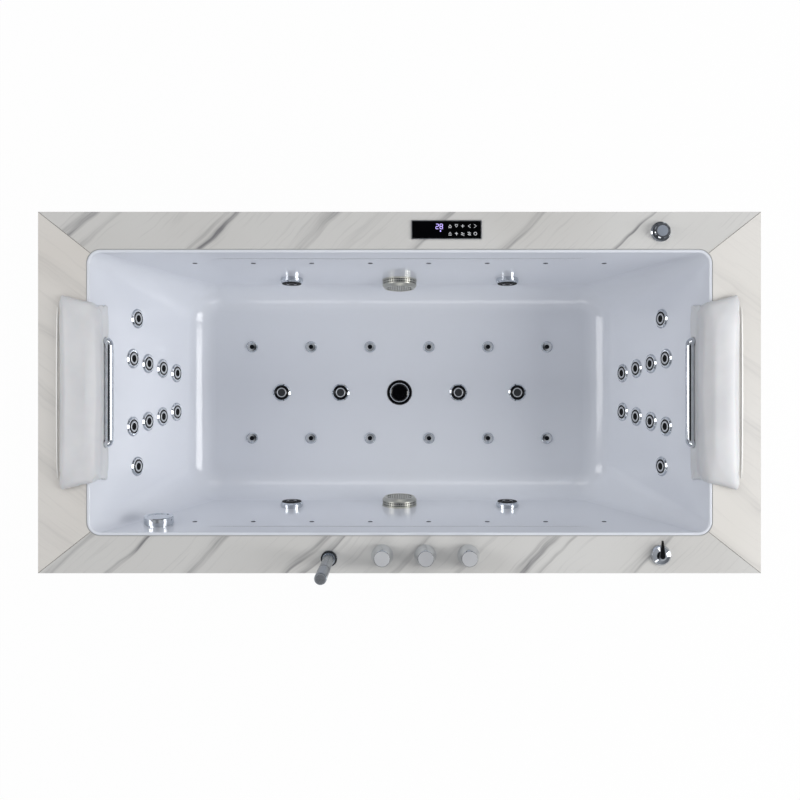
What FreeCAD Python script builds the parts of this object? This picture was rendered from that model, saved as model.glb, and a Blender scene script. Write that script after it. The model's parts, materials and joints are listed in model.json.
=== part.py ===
import FreeCAD, Part

import math
import os

import Sketcher
from FreeCAD import Placement, Rotation, Vector

# A rectangular jetted bathtub, measured in millimetres.
# X runs along the tub, Y points to its back side, Z points up, and the origin is
# on the floor under the middle of the deck.

doc = FreeCAD.newDocument("jetted_bathtub")

# ---------------------------------------------------------------------------
# Driving dimensions
# ---------------------------------------------------------------------------
DIMENSIONS = [
    # the box and its deck
    ("overall_length", 1800, "deck, left to right"),
    ("overall_width", 900, "deck, front to back"),
    ("overall_height", 600, "floor to deck top"),
    ("end_board", 120, "deck board width at the ends"),
    ("side_board", 93, "deck board width along the sides"),
    ("board_thickness", 20, "marble-look boards of the deck"),
    ("panel_thickness", 12, "skirt panels"),
    ("panel_inset", 3, "skirt face behind the deck edge"),
    ("panel_ground_gap", 10, "skirt lower edge above the floor"),
    ("batten", 14, "strip along the top of a skirt, on its inner face"),
    ("seam", 0.3, "gap between parts that lie side by side"),
    # the basin
    ("wall", 8, "acrylic wall of the basin"),
    ("basin_depth", 450, "deck top to basin floor"),
    ("end_wall_run", 177.7, "an end wall leans in by this, rim to floor"),
    ("side_wall_run", 46.7, "a long wall leans in by this, rim to floor"),
    ("mouth_corner", 27, "corner radius of the basin mouth"),
    ("floor_corner", 105, "corner radius of the basin floor"),
    ("floor_fillet", 80, "round between walls and floor"),
    ("flange_reach", 22, "basin flange under the deck boards"),
    ("flange_thickness", 8, "basin flange"),
    ("lip_round", 3.5, "round of the lip's two edges"),
    ("groove_length", 984, "thin line along each long wall"),
    ("groove_depth_below_rim", 66, "thin line below the rim"),
    ("groove_height", 4, "thin line, height"),
    ("groove_cut", 2, "thin line, depth into the wall"),
    # frame and feet
    ("rail", 30, "side of the square steel tube"),
    ("rail_wall", 2, "wall of the square steel tube"),
    ("rail_drop", 42, "underside of the rails below the basin"),
    ("rail_edge", 20, "rail outer face behind the deck edge"),
    ("cross_rail_inner", 215, "first pair of cross rails from the middle"),
    ("cross_rail_middle", 510, "second pair of cross rails from the middle"),
    ("cross_rail_inset", 235, "third pair of cross rails from the deck's ends"),
    ("middle_post", 430, "inner posts from the middle"),
    ("bracket_thickness", 3, "plates from the posts to the flange"),
    ("pad_length", 60, "pads between cross rails and basin"),
    ("pad_offset", 175, "pads from the middle line"),
    ("foot_radius", 25, "levelling foot"),
    ("foot_height", 14, "levelling foot disc"),
    ("stud_radius", 6, "levelling stud"),
    ("nut_radius", 11, "lock nut"),
    ("nut_height", 9, "lock nut"),
    ("tray_thickness", 3, "equipment trays"),
    ("tray_front", 300, "front edge of the trays from the middle line"),
    ("tray_back_left", 60, "back edge of the left tray from the middle line"),
    ("tray_back_right", 320, "back edge of the right tray from the middle line"),
    # jets in the end walls
    ("end_jet_radius", 26, "flange of a small jet"),
    ("end_jet_flange", 4, "flange thickness of a small jet"),
    ("end_jet_shank", 12, "shank radius of a small jet"),
    ("end_jet_ring", 19, "black ring of a small jet"),
    ("end_jet_nozzle", 12.5, "silver nozzle of a small jet"),
    ("end_jet_eye", 6.5, "dark eye of a small jet"),
    ("end_jet_reach", 36, "back end of a small jet behind the wall face"),
    ("end_jet_first_rise", 287, "top jet of a slanting row above the basin floor"),
    ("end_jet_first_y", 90, "top jet of a slanting row from the middle line"),
    ("end_jet_step_depth", 62.3, "next jet of a slanting row, downward"),
    ("end_jet_step_y", 11.7, "next jet of a slanting row, towards the middle line"),
    ("end_jet_outer_rise", 269, "outermost small jet above the basin floor"),
    ("end_jet_outer_y", 197, "outermost small jet from the middle line"),
    ("manifold_offset", 58, "manifold axis behind the wall face"),
    ("manifold_radius", 11, "manifold's slanting tubes"),
    ("manifold_cross", 13.5, "manifold's cross tube"),
    ("manifold_bore", 8.5, "manifold bore"),
    # side jets
    ("side_jet_x", 300, "side jets from the middle"),
    ("side_jet_rise", 153, "side jets above the basin floor"),
    ("side_jet_radius", 31.5, "chrome ring of a side jet"),
    ("side_jet_proud", 15, "ring of a side jet stands off the wall"),
    ("side_jet_shank", 24, "shank radius of a side jet"),
    ("side_jet_ball", 20, "nozzle ball radius of a side jet"),
    ("side_jet_reach", 76, "back end of a side jet behind the wall face"),
    # suctions
    ("suction_rise", 131, "suction covers above the basin floor"),
    ("suction_radius", 46.5, "suction cover"),
    ("suction_proud", 23, "suction cover stands off the wall"),
    ("suction_shank", 28, "suction body behind the wall"),
    ("suction_reach", 78, "back end of a suction body"),
    # lights in the long walls
    ("light_pitch", 152.4, "spacing of the wall lights"),
    ("light_depth", 117, "wall lights below the rim"),
    ("light_radius", 6.5, "lens of a wall light"),
    ("light_reach", 24, "back end of a wall light"),
    # fittings in the floor
    ("air_jet_pitch", 173, "spacing of the air jets"),
    ("air_jet_row", 134, "air jet rows from the middle line"),
    ("air_jet_radius", 16.5, "cap of an air jet"),
    ("air_jet_proud", 7, "cap of an air jet above the floor"),
    ("air_jet_shank", 9, "shank radius of an air jet"),
    ("floor_jet_radius", 25.5, "flange of a floor jet"),
    ("floor_jet_shank", 14, "shank radius of a floor jet"),
    ("drain_radius", 36.5, "drain flange"),
    ("drain_bore", 26, "hole under the plug"),
    ("plug_radius", 25.5, "drain plug"),
    ("drain_shank", 32, "drain shank"),
    # overflow
    ("overflow_inset", 280, "overflow knob from the deck's left end"),
    ("overflow_depth", 88, "overflow knob below the rim"),
    ("overflow_radius", 38, "overflow knob"),
    ("overflow_proud", 22, "overflow knob stands off the wall"),
    ("overflow_reach", 54, "overflow body behind the wall face"),
    # deck fittings
    ("tap_inset", 45, "knobs and touch panel from the deck's long edges"),
    ("tap_first", -43, "first of the three knobs"),
    ("tap_pitch", 107, "spacing of the three knobs"),
    ("tap_radius", 27.5, "knob at its foot"),
    ("tap_top_radius", 20.5, "flat disc on the knob"),
    ("tap_height", 60, "knob above the deck"),
    ("spindle_radius", 5, "knob spindle"),
    ("valve_radius", 18, "valve body under the deck"),
    ("valve_drop", 122, "lower end of the valve bodies below the deck"),
    ("inlet_radius", 10.48, "G1/2 thread of the hot and cold inlets"),
    ("inlet_length", 16, "G1/2 thread length"),
    ("shower_x", -175, "hand shower from the middle"),
    ("shower_inset", 38, "hand shower from the deck's front edge"),
    ("shower_radius", 13.5, "hand shower stick"),
    ("shower_height", 285, "hand shower above the deck"),
    ("collar_radius", 20.5, "hand shower collar"),
    ("side_knob_inset", 250, "air regulator and lever knob from the deck's right end"),
    ("regulator_inset", 50, "air regulator from the deck's back edge"),
    ("regulator_radius", 25, "air regulator"),
    ("regulator_height", 22, "air regulator above the deck"),
    ("lever_radius", 25.5, "lever knob"),
    ("lever_height", 16, "lever knob dome above the deck"),
    ("lever_length", 39, "lever from the knob axis"),
    ("lever_width", 6.6, "lever pointer, half its width at the axis"),
    ("display_x", 117, "touch panel from the middle"),
    ("display_length", 175, "touch panel glass"),
    ("display_width", 47, "touch panel glass"),
    ("display_proud", 3, "touch panel glass above the deck"),
    # pillows and bars
    ("pillow_width", 498, "pillow across the tub"),
    ("pillow_reach", 72, "pillow on the deck, from the board's inner edge"),
    ("pillow_drop", 68, "pillow lower edge below the rim"),
    ("pillow_crown", 27, "pillow thickness over the rim"),
    ("pillow_thin", 8, "pillow thickness at its lower edge"),
    ("bar_length", 279, "chrome bar"),
    ("bar_radius", 10.75, "chrome bar"),
    ("bar_offset", 22, "chrome bar axis off the wall"),
    ("bar_drop", 45, "chrome bar legs below the rim"),
    # equipment
    ("wedge_inset", 122, "equipment and pipes in the ends, from the deck's ends"),
    ("pump_radius", 76, "pump volute"),
    ("motor_radius", 62, "pump motor"),
    ("pump_front", 300, "pump front face from the middle line"),
    ("volute_length", 64, "pump volute"),
    ("motor_length", 200, "pump motor"),
    ("shaft_radius", 8, "pump and blower shafts"),
    ("running_gap", 0.05, "radial clearance of a shaft in its bearing"),
    ("blower_radius", 74, "blower housing"),
    ("blower_front", 230, "blower front face from the middle line"),
    ("blower_length", 70, "blower housing"),
    ("axis_rise", 80, "pump and blower axis above their trays"),
    ("box_height", 170, "electronic control box"),
    # pipes
    ("pipe_radius", 16, "water pipes"),
    ("pipe_wall", 2, "wall of every pipe"),
    ("ring_rise", 200, "water ring above the basin floor"),
    ("ring_inset", 78, "water ring from the deck's long edges"),
    ("suction_pipe", 25, "suction pipes"),
    ("suction_inset", 85, "suction pipes from the deck's long edges"),
    ("suction_cross_x", 112, "suction crossing from the middle"),
    ("low_layer", 36, "lowest pipes above the floor"),
    ("layer_drop", 20, "air rows and floor manifold below the rails"),
    ("air_pipe", 14, "air pipes"),
    ("waste_radius", 20, "waste pipe"),
    ("floor_feed_x", 472, "feed of the floor manifold from the middle"),
    ("header_x", 600, "air header from the middle"),
    ("air_loop_inset", 70, "air loop from the deck's left end"),
    ("air_loop_drop", 130, "top of the air loop below the deck"),
    ("plug_cable", 3, "plug cable sleeve"),
    ("floor_manifold_row", 67, "floor manifold from the middle line"),
    ("port_gap", 12, "a manifold's port beyond its tube"),
    ("filler_pipe", 9, "filler pipe"),
    ("waste_inset", 8, "end of the waste pipe inside the deck's long edge"),
    ("waste_spigot", 42, "free end of the waste pipe beyond its coupling"),
]

sheet = doc.addObject("Spreadsheet::Sheet", "sizes")
for row, (alias, number, meaning) in enumerate(DIMENSIONS, start=1):
    sheet.set(f"A{row}", alias.replace("_", " "))
    sheet.set(f"B{row}", str(number))
    sheet.set(f"C{row}", meaning)
    sheet.setAlias(f"B{row}", alias)
doc.recompute()


class Size:
    """A length: its present value, and the sheet expression that keeps it bound."""

    def __init__(self, value, text):
        self.value = float(value)
        self.text = text

    def __add__(self, other):
        other = sized(other)
        return Size(self.value + other.value, f"({self.text} + {other.text})")

    def __sub__(self, other):
        other = sized(other)
        return Size(self.value - other.value, f"({self.text} - {other.text})")

    def __mul__(self, factor):
        factor = sized(factor)
        return Size(self.value * factor.value, f"({self.text} * {factor.text})")

    def __truediv__(self, factor):
        factor = sized(factor)
        return Size(self.value / factor.value, f"({self.text} / {factor.text})")

    def __radd__(self, other):
        return sized(other) + self

    def __rsub__(self, other):
        return sized(other) - self

    def __rmul__(self, factor):
        return sized(factor) * self

    def __neg__(self):
        return sized(0) - self

    def __float__(self):
        return self.value


def sized(number):
    """Give a plain number the form of a Size."""
    return number if isinstance(number, Size) else Size(number, f"({float(number)!r})")


class SheetSizes:
    """Every alias of the sheet as an attribute."""

    def __getattr__(self, alias):
        return Size(sheet.get(alias), f"sizes.{alias}")


mm = SheetSizes()

# ---------------------------------------------------------------------------
# Helpers: sketches, turned parts, plates, blocks, pipes
# ---------------------------------------------------------------------------
nodes = []          # the document objects that are written out, in order


def keep(thing):
    """Add a finished sub-part to the list of nodes."""
    nodes.append(thing)
    return thing


def origin_plane(body, role):
    """Find one of a body's own origin planes by its role."""
    return next(plane for plane in body.Origin.OriginFeatures if plane.Role == role)


def new_body(label, placement=None):
    body = doc.addObject("PartDesign::Body", label)
    body.Label = label
    if placement is not None:
        body.Placement = placement
    return body


def new_sketch(body, name, role):
    sketch = body.newObject("Sketcher::SketchObject", name)
    sketch.AttachmentSupport = [(origin_plane(body, role), "")]
    sketch.MapMode = "FlatFace"
    return sketch


def bind(sketch, kind, *references):
    """Add a constraint whose last reference is a Size, and bind it to the sheet."""
    *places, size = references
    index = sketch.addConstraint(Sketcher.Constraint(kind, *places, float(size)))
    sketch.setExpression(f"Constraints[{index}]", size.text)


def draw_outline(sketch, corners):
    """Draw a closed outline of straight lines through (x, y) corners."""
    corners = [(sized(x), sized(y)) for x, y in corners]
    first = sketch.GeometryCount
    count = len(corners)
    for step in range(count):
        start, end = corners[step], corners[(step + 1) % count]
        line = Part.LineSegment(
            Vector(float(start[0]), float(start[1]), 0), Vector(float(end[0]), float(end[1]), 0))
        sketch.addGeometry(line)
    for step in range(count):
        following = first + (step + 1) % count
        sketch.addConstraint(Sketcher.Constraint("Coincident", first + step, 2, following, 1))
    for step, (x, y) in enumerate(corners):
        bind(sketch, "DistanceX", -1, 1, first + step, 1, x)
        bind(sketch, "DistanceY", -1, 1, first + step, 1, y)


def draw_circle(sketch, x, y, radius):
    """Draw a circle about (x, y)."""
    x, y, radius = sized(x), sized(y), sized(radius)
    circle = Part.Circle(Vector(float(x), float(y), 0), Vector(0, 0, 1), float(radius))
    index = sketch.addGeometry(circle)
    bind(sketch, "DistanceX", -1, 1, index, 3, x)
    bind(sketch, "DistanceY", -1, 1, index, 3, y)
    bind(sketch, "Radius", index, radius)


def turned(label, profile, placement=None):
    """A body turned about its Z axis from a profile of (radius, height) corners."""
    body = new_body(label, placement)
    sketch = new_sketch(body, f"{label}_profile", "XZ_Plane")
    draw_outline(sketch, profile)
    solid = body.newObject("PartDesign::Revolution", f"{label}_turned")
    solid.Profile = sketch
    solid.ReferenceAxis = (sketch, ["V_Axis"])
    solid.Angle = 360
    doc.recompute()
    return body


def plate(label, outline, thickness, holes=(), cutouts=(), placement=None):
    """A flat body: an outline padded upward, with round holes and cut-outs right through."""
    body = new_body(label, placement)
    sketch = new_sketch(body, f"{label}_outline", "XY_Plane")
    draw_outline(sketch, outline)
    pad = body.newObject("PartDesign::Pad", f"{label}_pad")
    pad.Profile = sketch
    pad.setExpression("Length", sized(thickness).text)
    doc.recompute()
    if holes or cutouts:
        openings = new_sketch(body, f"{label}_openings", "XY_Plane")
        for x, y, radius in holes:
            draw_circle(openings, x, y, radius)
        for corners in cutouts:
            draw_outline(openings, corners)
        pocket = body.newObject("PartDesign::Pocket", f"{label}_pocket")
        pocket.Profile = openings
        pocket.Type = "ThroughAll"
        pocket.Reversed = True
        doc.recompute()
        if pocket.Shape.Volume >= pad.Shape.Volume:
            raise RuntimeError(f"{label}: the openings cut nothing")
    return body


def rectangle(low_x, low_y, high_x, high_y):
    return [(low_x, low_y), (high_x, low_y), (high_x, high_y), (low_x, high_y)]


def block(label, low, size):
    """A plain box between two corners, bound to the sheet."""
    box = doc.addObject("Part::Box", label)
    for side, length in zip(("Length", "Width", "Height"), size):
        box.setExpression(side, sized(length).text)
    for axis, place in zip("xyz", low):
        box.setExpression(f"Placement.Base.{axis}", sized(place).text)
    return box


def square_tube(label, start, direction, length):
    """A hollow square rail from the middle of its end face, along X, Y or Z."""
    half = mm.rail / 2
    outer_low = [sized(place) - (0 if axis == direction else half)
                 for axis, place in enumerate(start)]
    outer_size = [length if axis == direction else mm.rail for axis in range(3)]
    inner_low = [place + (0 if axis == direction else mm.rail_wall)
                 for axis, place in enumerate(outer_low)]
    inner_size = [length if axis == direction else mm.rail - mm.rail_wall * 2
                  for axis in range(3)]
    tube = doc.addObject("Part::Cut", label)
    tube.Base = block(f"{label}_outer", outer_low, outer_size)
    tube.Tool = block(f"{label}_inner", inner_low, inner_size)
    return tube


def group(label, members):
    """Several like pieces that share one node, each its own solid."""
    together = doc.addObject("Part::Compound", label)
    together.Label = label
    together.Links = members
    return keep(together)


def placed(master, placements):
    """Copies of a master piece, one at every given placement."""
    doc.recompute()
    shape = master.Shape.copy()
    shape.Placement = Placement()
    return [shape.transformed(spot.toMatrix(), True) for spot in placements]


def copies(label, master, placements):
    """One node that holds a copy of a master piece at every given placement."""
    return shape_node(label, Part.makeCompound(placed(master, placements)))


def shape_node(label, shape):
    """A sub-part whose shape is worked out from the sheet's values."""
    feature = doc.addObject("Part::Feature", label)
    feature.Label = label
    feature.Shape = shape
    return keep(feature)


def at(x, y, z, turn=None):
    return Placement(Vector(float(x), float(y), float(z)), turn or Rotation())


def rod(start, end, radius, bore=0.0):
    """A round bar or tube from one point to another."""
    axis = end - start
    bar = Part.makeCylinder(float(radius), axis.Length, start, axis)
    if bore:
        bar = bar.cut(Part.makeCylinder(float(bore), axis.Length, start, axis))
    return bar


def branch(centre, ends, radius, bore):
    """A pipe fitting: arms from a centre to each end, with a ball where they meet."""
    outer = Part.makeSphere(float(radius), centre)
    inner = Part.makeSphere(float(bore), centre)
    for end in ends:
        arm = end - centre
        outer = outer.fuse(Part.makeCylinder(float(radius), arm.Length, centre, arm))
        inner = inner.fuse(Part.makeCylinder(float(bore), arm.Length, centre, arm))
    return outer.cut(inner).removeSplitter()


# ---------------------------------------------------------------------------
# Places on the basin walls
# ---------------------------------------------------------------------------
half_length = mm.overall_length / 2
half_width = mm.overall_width / 2
opening_x = half_length - mm.end_board
opening_y = half_width - mm.side_board
mouth_x = float(opening_x - mm.seam - mm.wall)
mouth_y = float(opening_y - mm.seam - mm.wall)
deck_top = float(mm.overall_height)
board_low = mm.overall_height - mm.board_thickness
floor_z = mm.overall_height - mm.basin_depth
floor_under = floor_z - mm.wall
end_run = float(mm.end_wall_run) / float(mm.basin_depth)
side_run = float(mm.side_wall_run) / float(mm.basin_depth)
end_angle = math.atan(end_run)
side_angle = math.atan(side_run)

# places that follow the deck's edges, from the middle
tap_row = half_width - mm.tap_inset
shower_row = half_width - mm.shower_inset
regulator_row = half_width - mm.regulator_inset
ring_row = half_width - mm.ring_inset
suction_row = half_width - mm.suction_inset
waste_end = half_width - mm.waste_inset
wedge_x = half_length - mm.wedge_inset
cross_rail_outer = half_length - mm.cross_rail_inset
overflow_x = half_length - mm.overflow_inset
side_knob_x = half_length - mm.side_knob_inset
air_loop_x = half_length - mm.air_loop_inset
# depths below the rim of the fittings that keep their height above the basin floor
end_jet_first_depth = mm.basin_depth - mm.end_jet_first_rise
end_jet_outer_depth = mm.basin_depth - mm.end_jet_outer_rise
side_jet_depth = mm.basin_depth - mm.side_jet_rise
suction_depth = mm.basin_depth - mm.suction_rise
# heights above the ground
rail_low = floor_under - mm.rail_drop
middle_layer = rail_low - mm.layer_drop
equipment_axis = rail_low + mm.rail + mm.tray_thickness + mm.axis_rise
ring_height = floor_z + mm.ring_rise
valve_low = mm.overall_height - mm.valve_drop
air_loop_top = mm.overall_height - mm.air_loop_drop


class WallSpot:
    """A point on the inner face of a basin wall, with the direction into the basin."""

    def __init__(self, point, inward):
        self.point = point
        self.inward = inward

    def behind(self, distance):
        return self.point - self.inward * float(distance)

    def placement(self):
        return Placement(self.point, Rotation(Vector(0, 0, 1), self.inward))


def end_wall(side, y, depth):
    """A spot on the right (side 1) or left (side -1) end wall."""
    depth = float(depth)
    point = Vector(side * (mouth_x - depth * end_run), float(y), deck_top - depth)
    return WallSpot(point, Vector(-side * math.cos(end_angle), 0, math.sin(end_angle)))


def long_wall(side, x, depth):
    """A spot on the back (side 1) or front (side -1) long wall."""
    depth = float(depth)
    point = Vector(float(x), side * (mouth_y - depth * side_run), deck_top - depth)
    return WallSpot(point, Vector(0, -side * math.cos(side_angle), math.sin(side_angle)))


def floor_spot(x, y):
    """A spot on the basin floor."""
    return WallSpot(Vector(float(x), float(y), float(floor_z)), Vector(0, 0, 1))


SIDES = (-1, 1)

end_jet_spots = []
for side in SIDES:
    for half in SIDES:
        for step in range(4):
            jet_y = mm.end_jet_first_y - mm.end_jet_step_y * step
            jet_depth = end_jet_first_depth + mm.end_jet_step_depth * step
            end_jet_spots.append(end_wall(side, half * float(jet_y), jet_depth))
        end_jet_spots.append(end_wall(side, half * float(mm.end_jet_outer_y), end_jet_outer_depth))

side_jet_spots = [long_wall(side, end * float(mm.side_jet_x), side_jet_depth)
                  for side in SIDES for end in SIDES]
suction_spots = [long_wall(side, 0, suction_depth) for side in SIDES]
light_spots = [long_wall(side, (step - 3.5) * float(mm.light_pitch), mm.light_depth)
               for side in SIDES for step in range(8)]
overflow_spot = long_wall(-1, -float(overflow_x), mm.overflow_depth)
air_jet_spots = [floor_spot(end * (column + 0.5) * float(mm.air_jet_pitch), side * float(mm.air_jet_row))
                 for side in SIDES for end in SIDES for column in range(3)]
floor_jet_spots = [floor_spot(end * (column + 1) * float(mm.air_jet_pitch), 0)
                   for end in SIDES for column in range(2)]
bar_leg = (float(mm.bar_length) / 2 - float(mm.bar_radius))
bar_leg_spots = [end_wall(side, half * bar_leg, mm.bar_drop) for side in SIDES for half in SIDES]
bar_stud_radius = float(mm.bar_radius) * 0.4

# ---------------------------------------------------------------------------
# Basin shell
# ---------------------------------------------------------------------------


def rounded_rectangle(half_x, half_y, corner, height):
    """A closed wire of four lines and four quarter arcs."""
    middle = corner * (1 - math.sqrt(0.5))
    edges = []
    for quarter in range(4):
        sign_x = 1 if quarter in (0, 3) else -1
        sign_y = 1 if quarter in (0, 1) else -1
        beside = Vector(sign_x * half_x, sign_y * (half_y - corner), height)
        along = Vector(sign_x * (half_x - corner), sign_y * half_y, height)
        bend = Vector(sign_x * (half_x - middle), sign_y * (half_y - middle), height)
        if quarter in (0, 2):
            edges.append(Part.Arc(beside, bend, along).toShape())
            following = Vector(-along.x, along.y, height)
        else:
            edges.append(Part.Arc(along, bend, beside).toShape())
            following = Vector(beside.x, -beside.y, height)
        edges.append(Part.makeLine(edges[-1].Vertexes[-1].Point, following))
    return Part.Wire(edges)


def prism(half_x, half_y, corner, low, high):
    """A rounded-rectangle block between two heights."""
    outline = rounded_rectangle(float(half_x), float(half_y), float(corner), float(low))
    return Part.Face(outline).extrude(Vector(0, 0, float(high) - float(low)))


def basin_section(depth, grown):
    """The basin's outline at a depth; grown is the wall added outside it."""
    share = depth / float(mm.basin_depth)
    corner = float(mm.mouth_corner) + share * float(mm.floor_corner - mm.mouth_corner) + grown
    half_x = mouth_x - depth * end_run + grown / math.cos(end_angle)
    half_y = mouth_y - depth * side_run + grown / math.cos(side_angle)
    return rounded_rectangle(half_x, half_y, corner, deck_top - depth)


def tapered_block(top, bottom, fillet):
    """A solid between two outlines with a round all along its bottom edge."""
    solid = Part.makeLoft([bottom, top], True, True)
    low = solid.BoundBox.ZMin
    rim = [edge for edge in solid.Edges if abs(edge.BoundBox.ZMax - low) < 0.001]
    return solid.makeFillet(fillet, rim)


def groove_tool(side):
    """The thin line below the rim of a long wall, pointed at both ends."""
    spot = long_wall(side, 0, mm.groove_depth_below_rim)
    half = float(mm.groove_length) / 2
    high = float(mm.groove_height) / 2
    taper = 12 * float(mm.groove_height)
    outline = [(-half, 0), (-half + taper, -high), (half - taper, -high),
               (half, 0), (half - taper, high), (-half + taper, high), (-half, 0)]
    face = Part.Face(Part.makePolygon([Vector(x, 0, z) for x, z in outline]))
    cut = float(mm.groove_cut)
    face.translate(Vector(0, -cut, 0))
    tool = face.extrude(Vector(0, cut * 2, 0))
    turn = Rotation(Vector(1, 0, 0), -side * math.degrees(side_angle))
    return tool.transformed(Placement(spot.point, turn).toMatrix())


def basin_holes():
    """Every hole that a fitting passes through."""
    reach = 2 * float(mm.wall)
    drilled = [(end_jet_spots, mm.end_jet_shank), (side_jet_spots, mm.side_jet_shank),
               (suction_spots, mm.suction_shank), (light_spots, mm.light_radius),
               ([overflow_spot], mm.side_jet_shank), (air_jet_spots, mm.air_jet_shank),
               (floor_jet_spots, mm.floor_jet_shank), ([floor_spot(0, 0)], mm.drain_shank),
               (bar_leg_spots, bar_stud_radius)]
    tools = []
    for spots, radius in drilled:
        for spot in spots:
            start = spot.behind(reach)
            tools.append(rod(start, spot.point + spot.inward * reach, float(radius) + float(mm.seam)))
    return tools


def basin_shell():
    depth = float(mm.basin_depth)
    wall = float(mm.wall)
    fillet = float(mm.floor_fillet)
    hollow = tapered_block(basin_section(-1.0, 0.0), basin_section(depth, 0.0), fillet)
    lip_low = float(board_low - mm.flange_thickness)
    outside = tapered_block(basin_section(deck_top - lip_low, wall),
                            basin_section(depth + wall, wall), fillet + wall)
    lip_corner = mm.mouth_corner + mm.wall
    lip = prism(opening_x - mm.seam, opening_y - mm.seam, lip_corner, lip_low, deck_top)
    top_edges = [edge for edge in lip.Edges if edge.BoundBox.ZMin > deck_top - 0.001]
    lip = lip.makeFillet(float(mm.lip_round), top_edges)
    flange = prism(opening_x + mm.flange_reach, opening_y + mm.flange_reach,
                   lip_corner + mm.flange_reach, lip_low, board_low)
    shell = outside.fuse([lip, flange]).cut(hollow)
    mouth = [edge for edge in shell.Edges if edge.BoundBox.ZMin > deck_top - 0.001
             and edge.BoundBox.YMax < mouth_y + 1 and edge.BoundBox.XMax < mouth_x + 1]
    shell = shell.makeFillet(float(mm.lip_round), mouth)
    return shell.cut(basin_holes() + [groove_tool(side) for side in SIDES])


shape_node("basin_shell", basin_shell())

# ---------------------------------------------------------------------------
# Deck boards: four mitred boards round the lip
# ---------------------------------------------------------------------------
lip_clearance = doc.addObject("Part::Feature", "lip_clearance")
lip_clearance.Shape = prism(opening_x, opening_y, mm.mouth_corner + mm.wall + mm.seam,
                            board_low - 1, mm.overall_height + 1)
overlap = mm.mouth_corner + mm.wall     # a board reaches this far past the square corner
overlap_run = overlap * mm.end_board / mm.side_board


def deck_board(label, outline, holes=(), cutouts=()):
    """One board with its mitred ends, cut out round the basin lip."""
    board = plate(f"{label}_board", outline, mm.board_thickness, holes, cutouts, at(0, 0, board_low))
    cut = doc.addObject("Part::Cut", label)
    cut.Base = board
    cut.Tool = lip_clearance
    return keep(cut)


def tap_x(number):
    """The place of one of the three knobs along the front board."""
    return mm.tap_first + mm.tap_pitch * number


spindle_hole = mm.spindle_radius + mm.seam
housing_x = mm.display_length / 2 - 6
housing_y = mm.display_width / 2 - 6
long_outline = [(-half_length + mm.seam, half_width), (half_length - mm.seam, half_width),
                (opening_x - overlap_run - mm.seam, opening_y - overlap),
                (-opening_x + overlap_run + mm.seam, opening_y - overlap)]
end_outline = [(half_length, -half_width), (half_length, half_width),
               (opening_x - overlap_run, opening_y - overlap),
               (opening_x - overlap_run, -opening_y + overlap)]


def mirrored_y(points):
    return [(x, -sized(y)) for x, y in reversed(points)]


def mirrored_x(points):
    return [(-sized(x), y) for x, y in reversed(points)]


front_holes = [(tap_x(number), -tap_row, spindle_hole) for number in range(3)]
front_holes.append((mm.shower_x, -shower_row, mm.shower_radius + mm.seam * 2))
front_holes.append((side_knob_x, -tap_row, spindle_hole))
deck_board("deck_front", mirrored_y(long_outline), front_holes)
deck_board("deck_back", long_outline, [(side_knob_x, regulator_row, spindle_hole)],
           [rectangle(mm.display_x - housing_x - mm.seam, tap_row - housing_y - mm.seam,
                      mm.display_x + housing_x + mm.seam, tap_row + housing_y + mm.seam)])
deck_board("deck_left", mirrored_x(end_outline))
deck_board("deck_right", end_outline)

# ---------------------------------------------------------------------------
# Skirt panels, each with a batten that carries the deck's outer edge
# ---------------------------------------------------------------------------
skirt_x = half_length - mm.panel_inset
skirt_y = half_width - mm.panel_inset
skirt_height = board_low - mm.panel_ground_gap


def skirt(label, low, size, batten_low, batten_size):
    """A panel and its top batten, as one piece."""
    fuse = doc.addObject("Part::Fuse", label)
    fuse.Base = block(f"{label}_panel", low, size)
    fuse.Tool = block(f"{label}_batten", batten_low, batten_size)
    return fuse


inner_x = skirt_x - mm.panel_thickness
inner_y = skirt_y - mm.panel_thickness
rail_x = half_length - mm.rail_edge - mm.rail / 2
rail_y = half_width - mm.rail_edge - mm.rail / 2
clip_depth = inner_y - rail_y - mm.rail / 2     # between a skirt and the frame
batten_z = board_low - mm.batten
keep(skirt("skirt_front", (-skirt_x, -skirt_y, mm.panel_ground_gap),
      (skirt_x * 2, mm.panel_thickness, skirt_height),
      (-inner_x + mm.batten * 2, -inner_y, batten_z),
      (inner_x * 2 - mm.batten * 4, clip_depth, mm.batten)))
back_skirt = skirt("skirt_back_whole", (-skirt_x, inner_y, mm.panel_ground_gap),
      (skirt_x * 2, mm.panel_thickness, skirt_height),
      (-inner_x + mm.batten * 2, inner_y - clip_depth, batten_z),
      (inner_x * 2 - mm.batten * 4, clip_depth, mm.batten))
waste_hole = doc.addObject("Part::Cylinder", "waste_hole")
waste_hole.setExpression("Radius", (mm.waste_radius + 14).text)
waste_hole.setExpression("Height", (mm.panel_thickness * 3).text)
waste_hole.Placement = at(0, inner_y - mm.panel_thickness, mm.low_layer,
                          Rotation(Vector(0, 0, 1), Vector(0, 1, 0)))
skirt_back = doc.addObject("Part::Cut", "skirt_back")
skirt_back.Base = back_skirt
skirt_back.Tool = waste_hole
keep(skirt_back)
end_skirts = []
for label, panel_low_x, batten_low_x in (
        ("skirt_left", -skirt_x, -inner_x), ("skirt_right", inner_x, inner_x - mm.batten)):
    end_skirts.append(skirt(label, (panel_low_x, -inner_y + mm.seam, mm.panel_ground_gap),
          (mm.panel_thickness, inner_y * 2 - mm.seam * 2, skirt_height),
          (batten_low_x, -inner_y + mm.batten * 4, batten_z),
          (mm.batten, inner_y * 2 - mm.batten * 8, mm.batten)))
group("skirt_ends", end_skirts)

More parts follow.
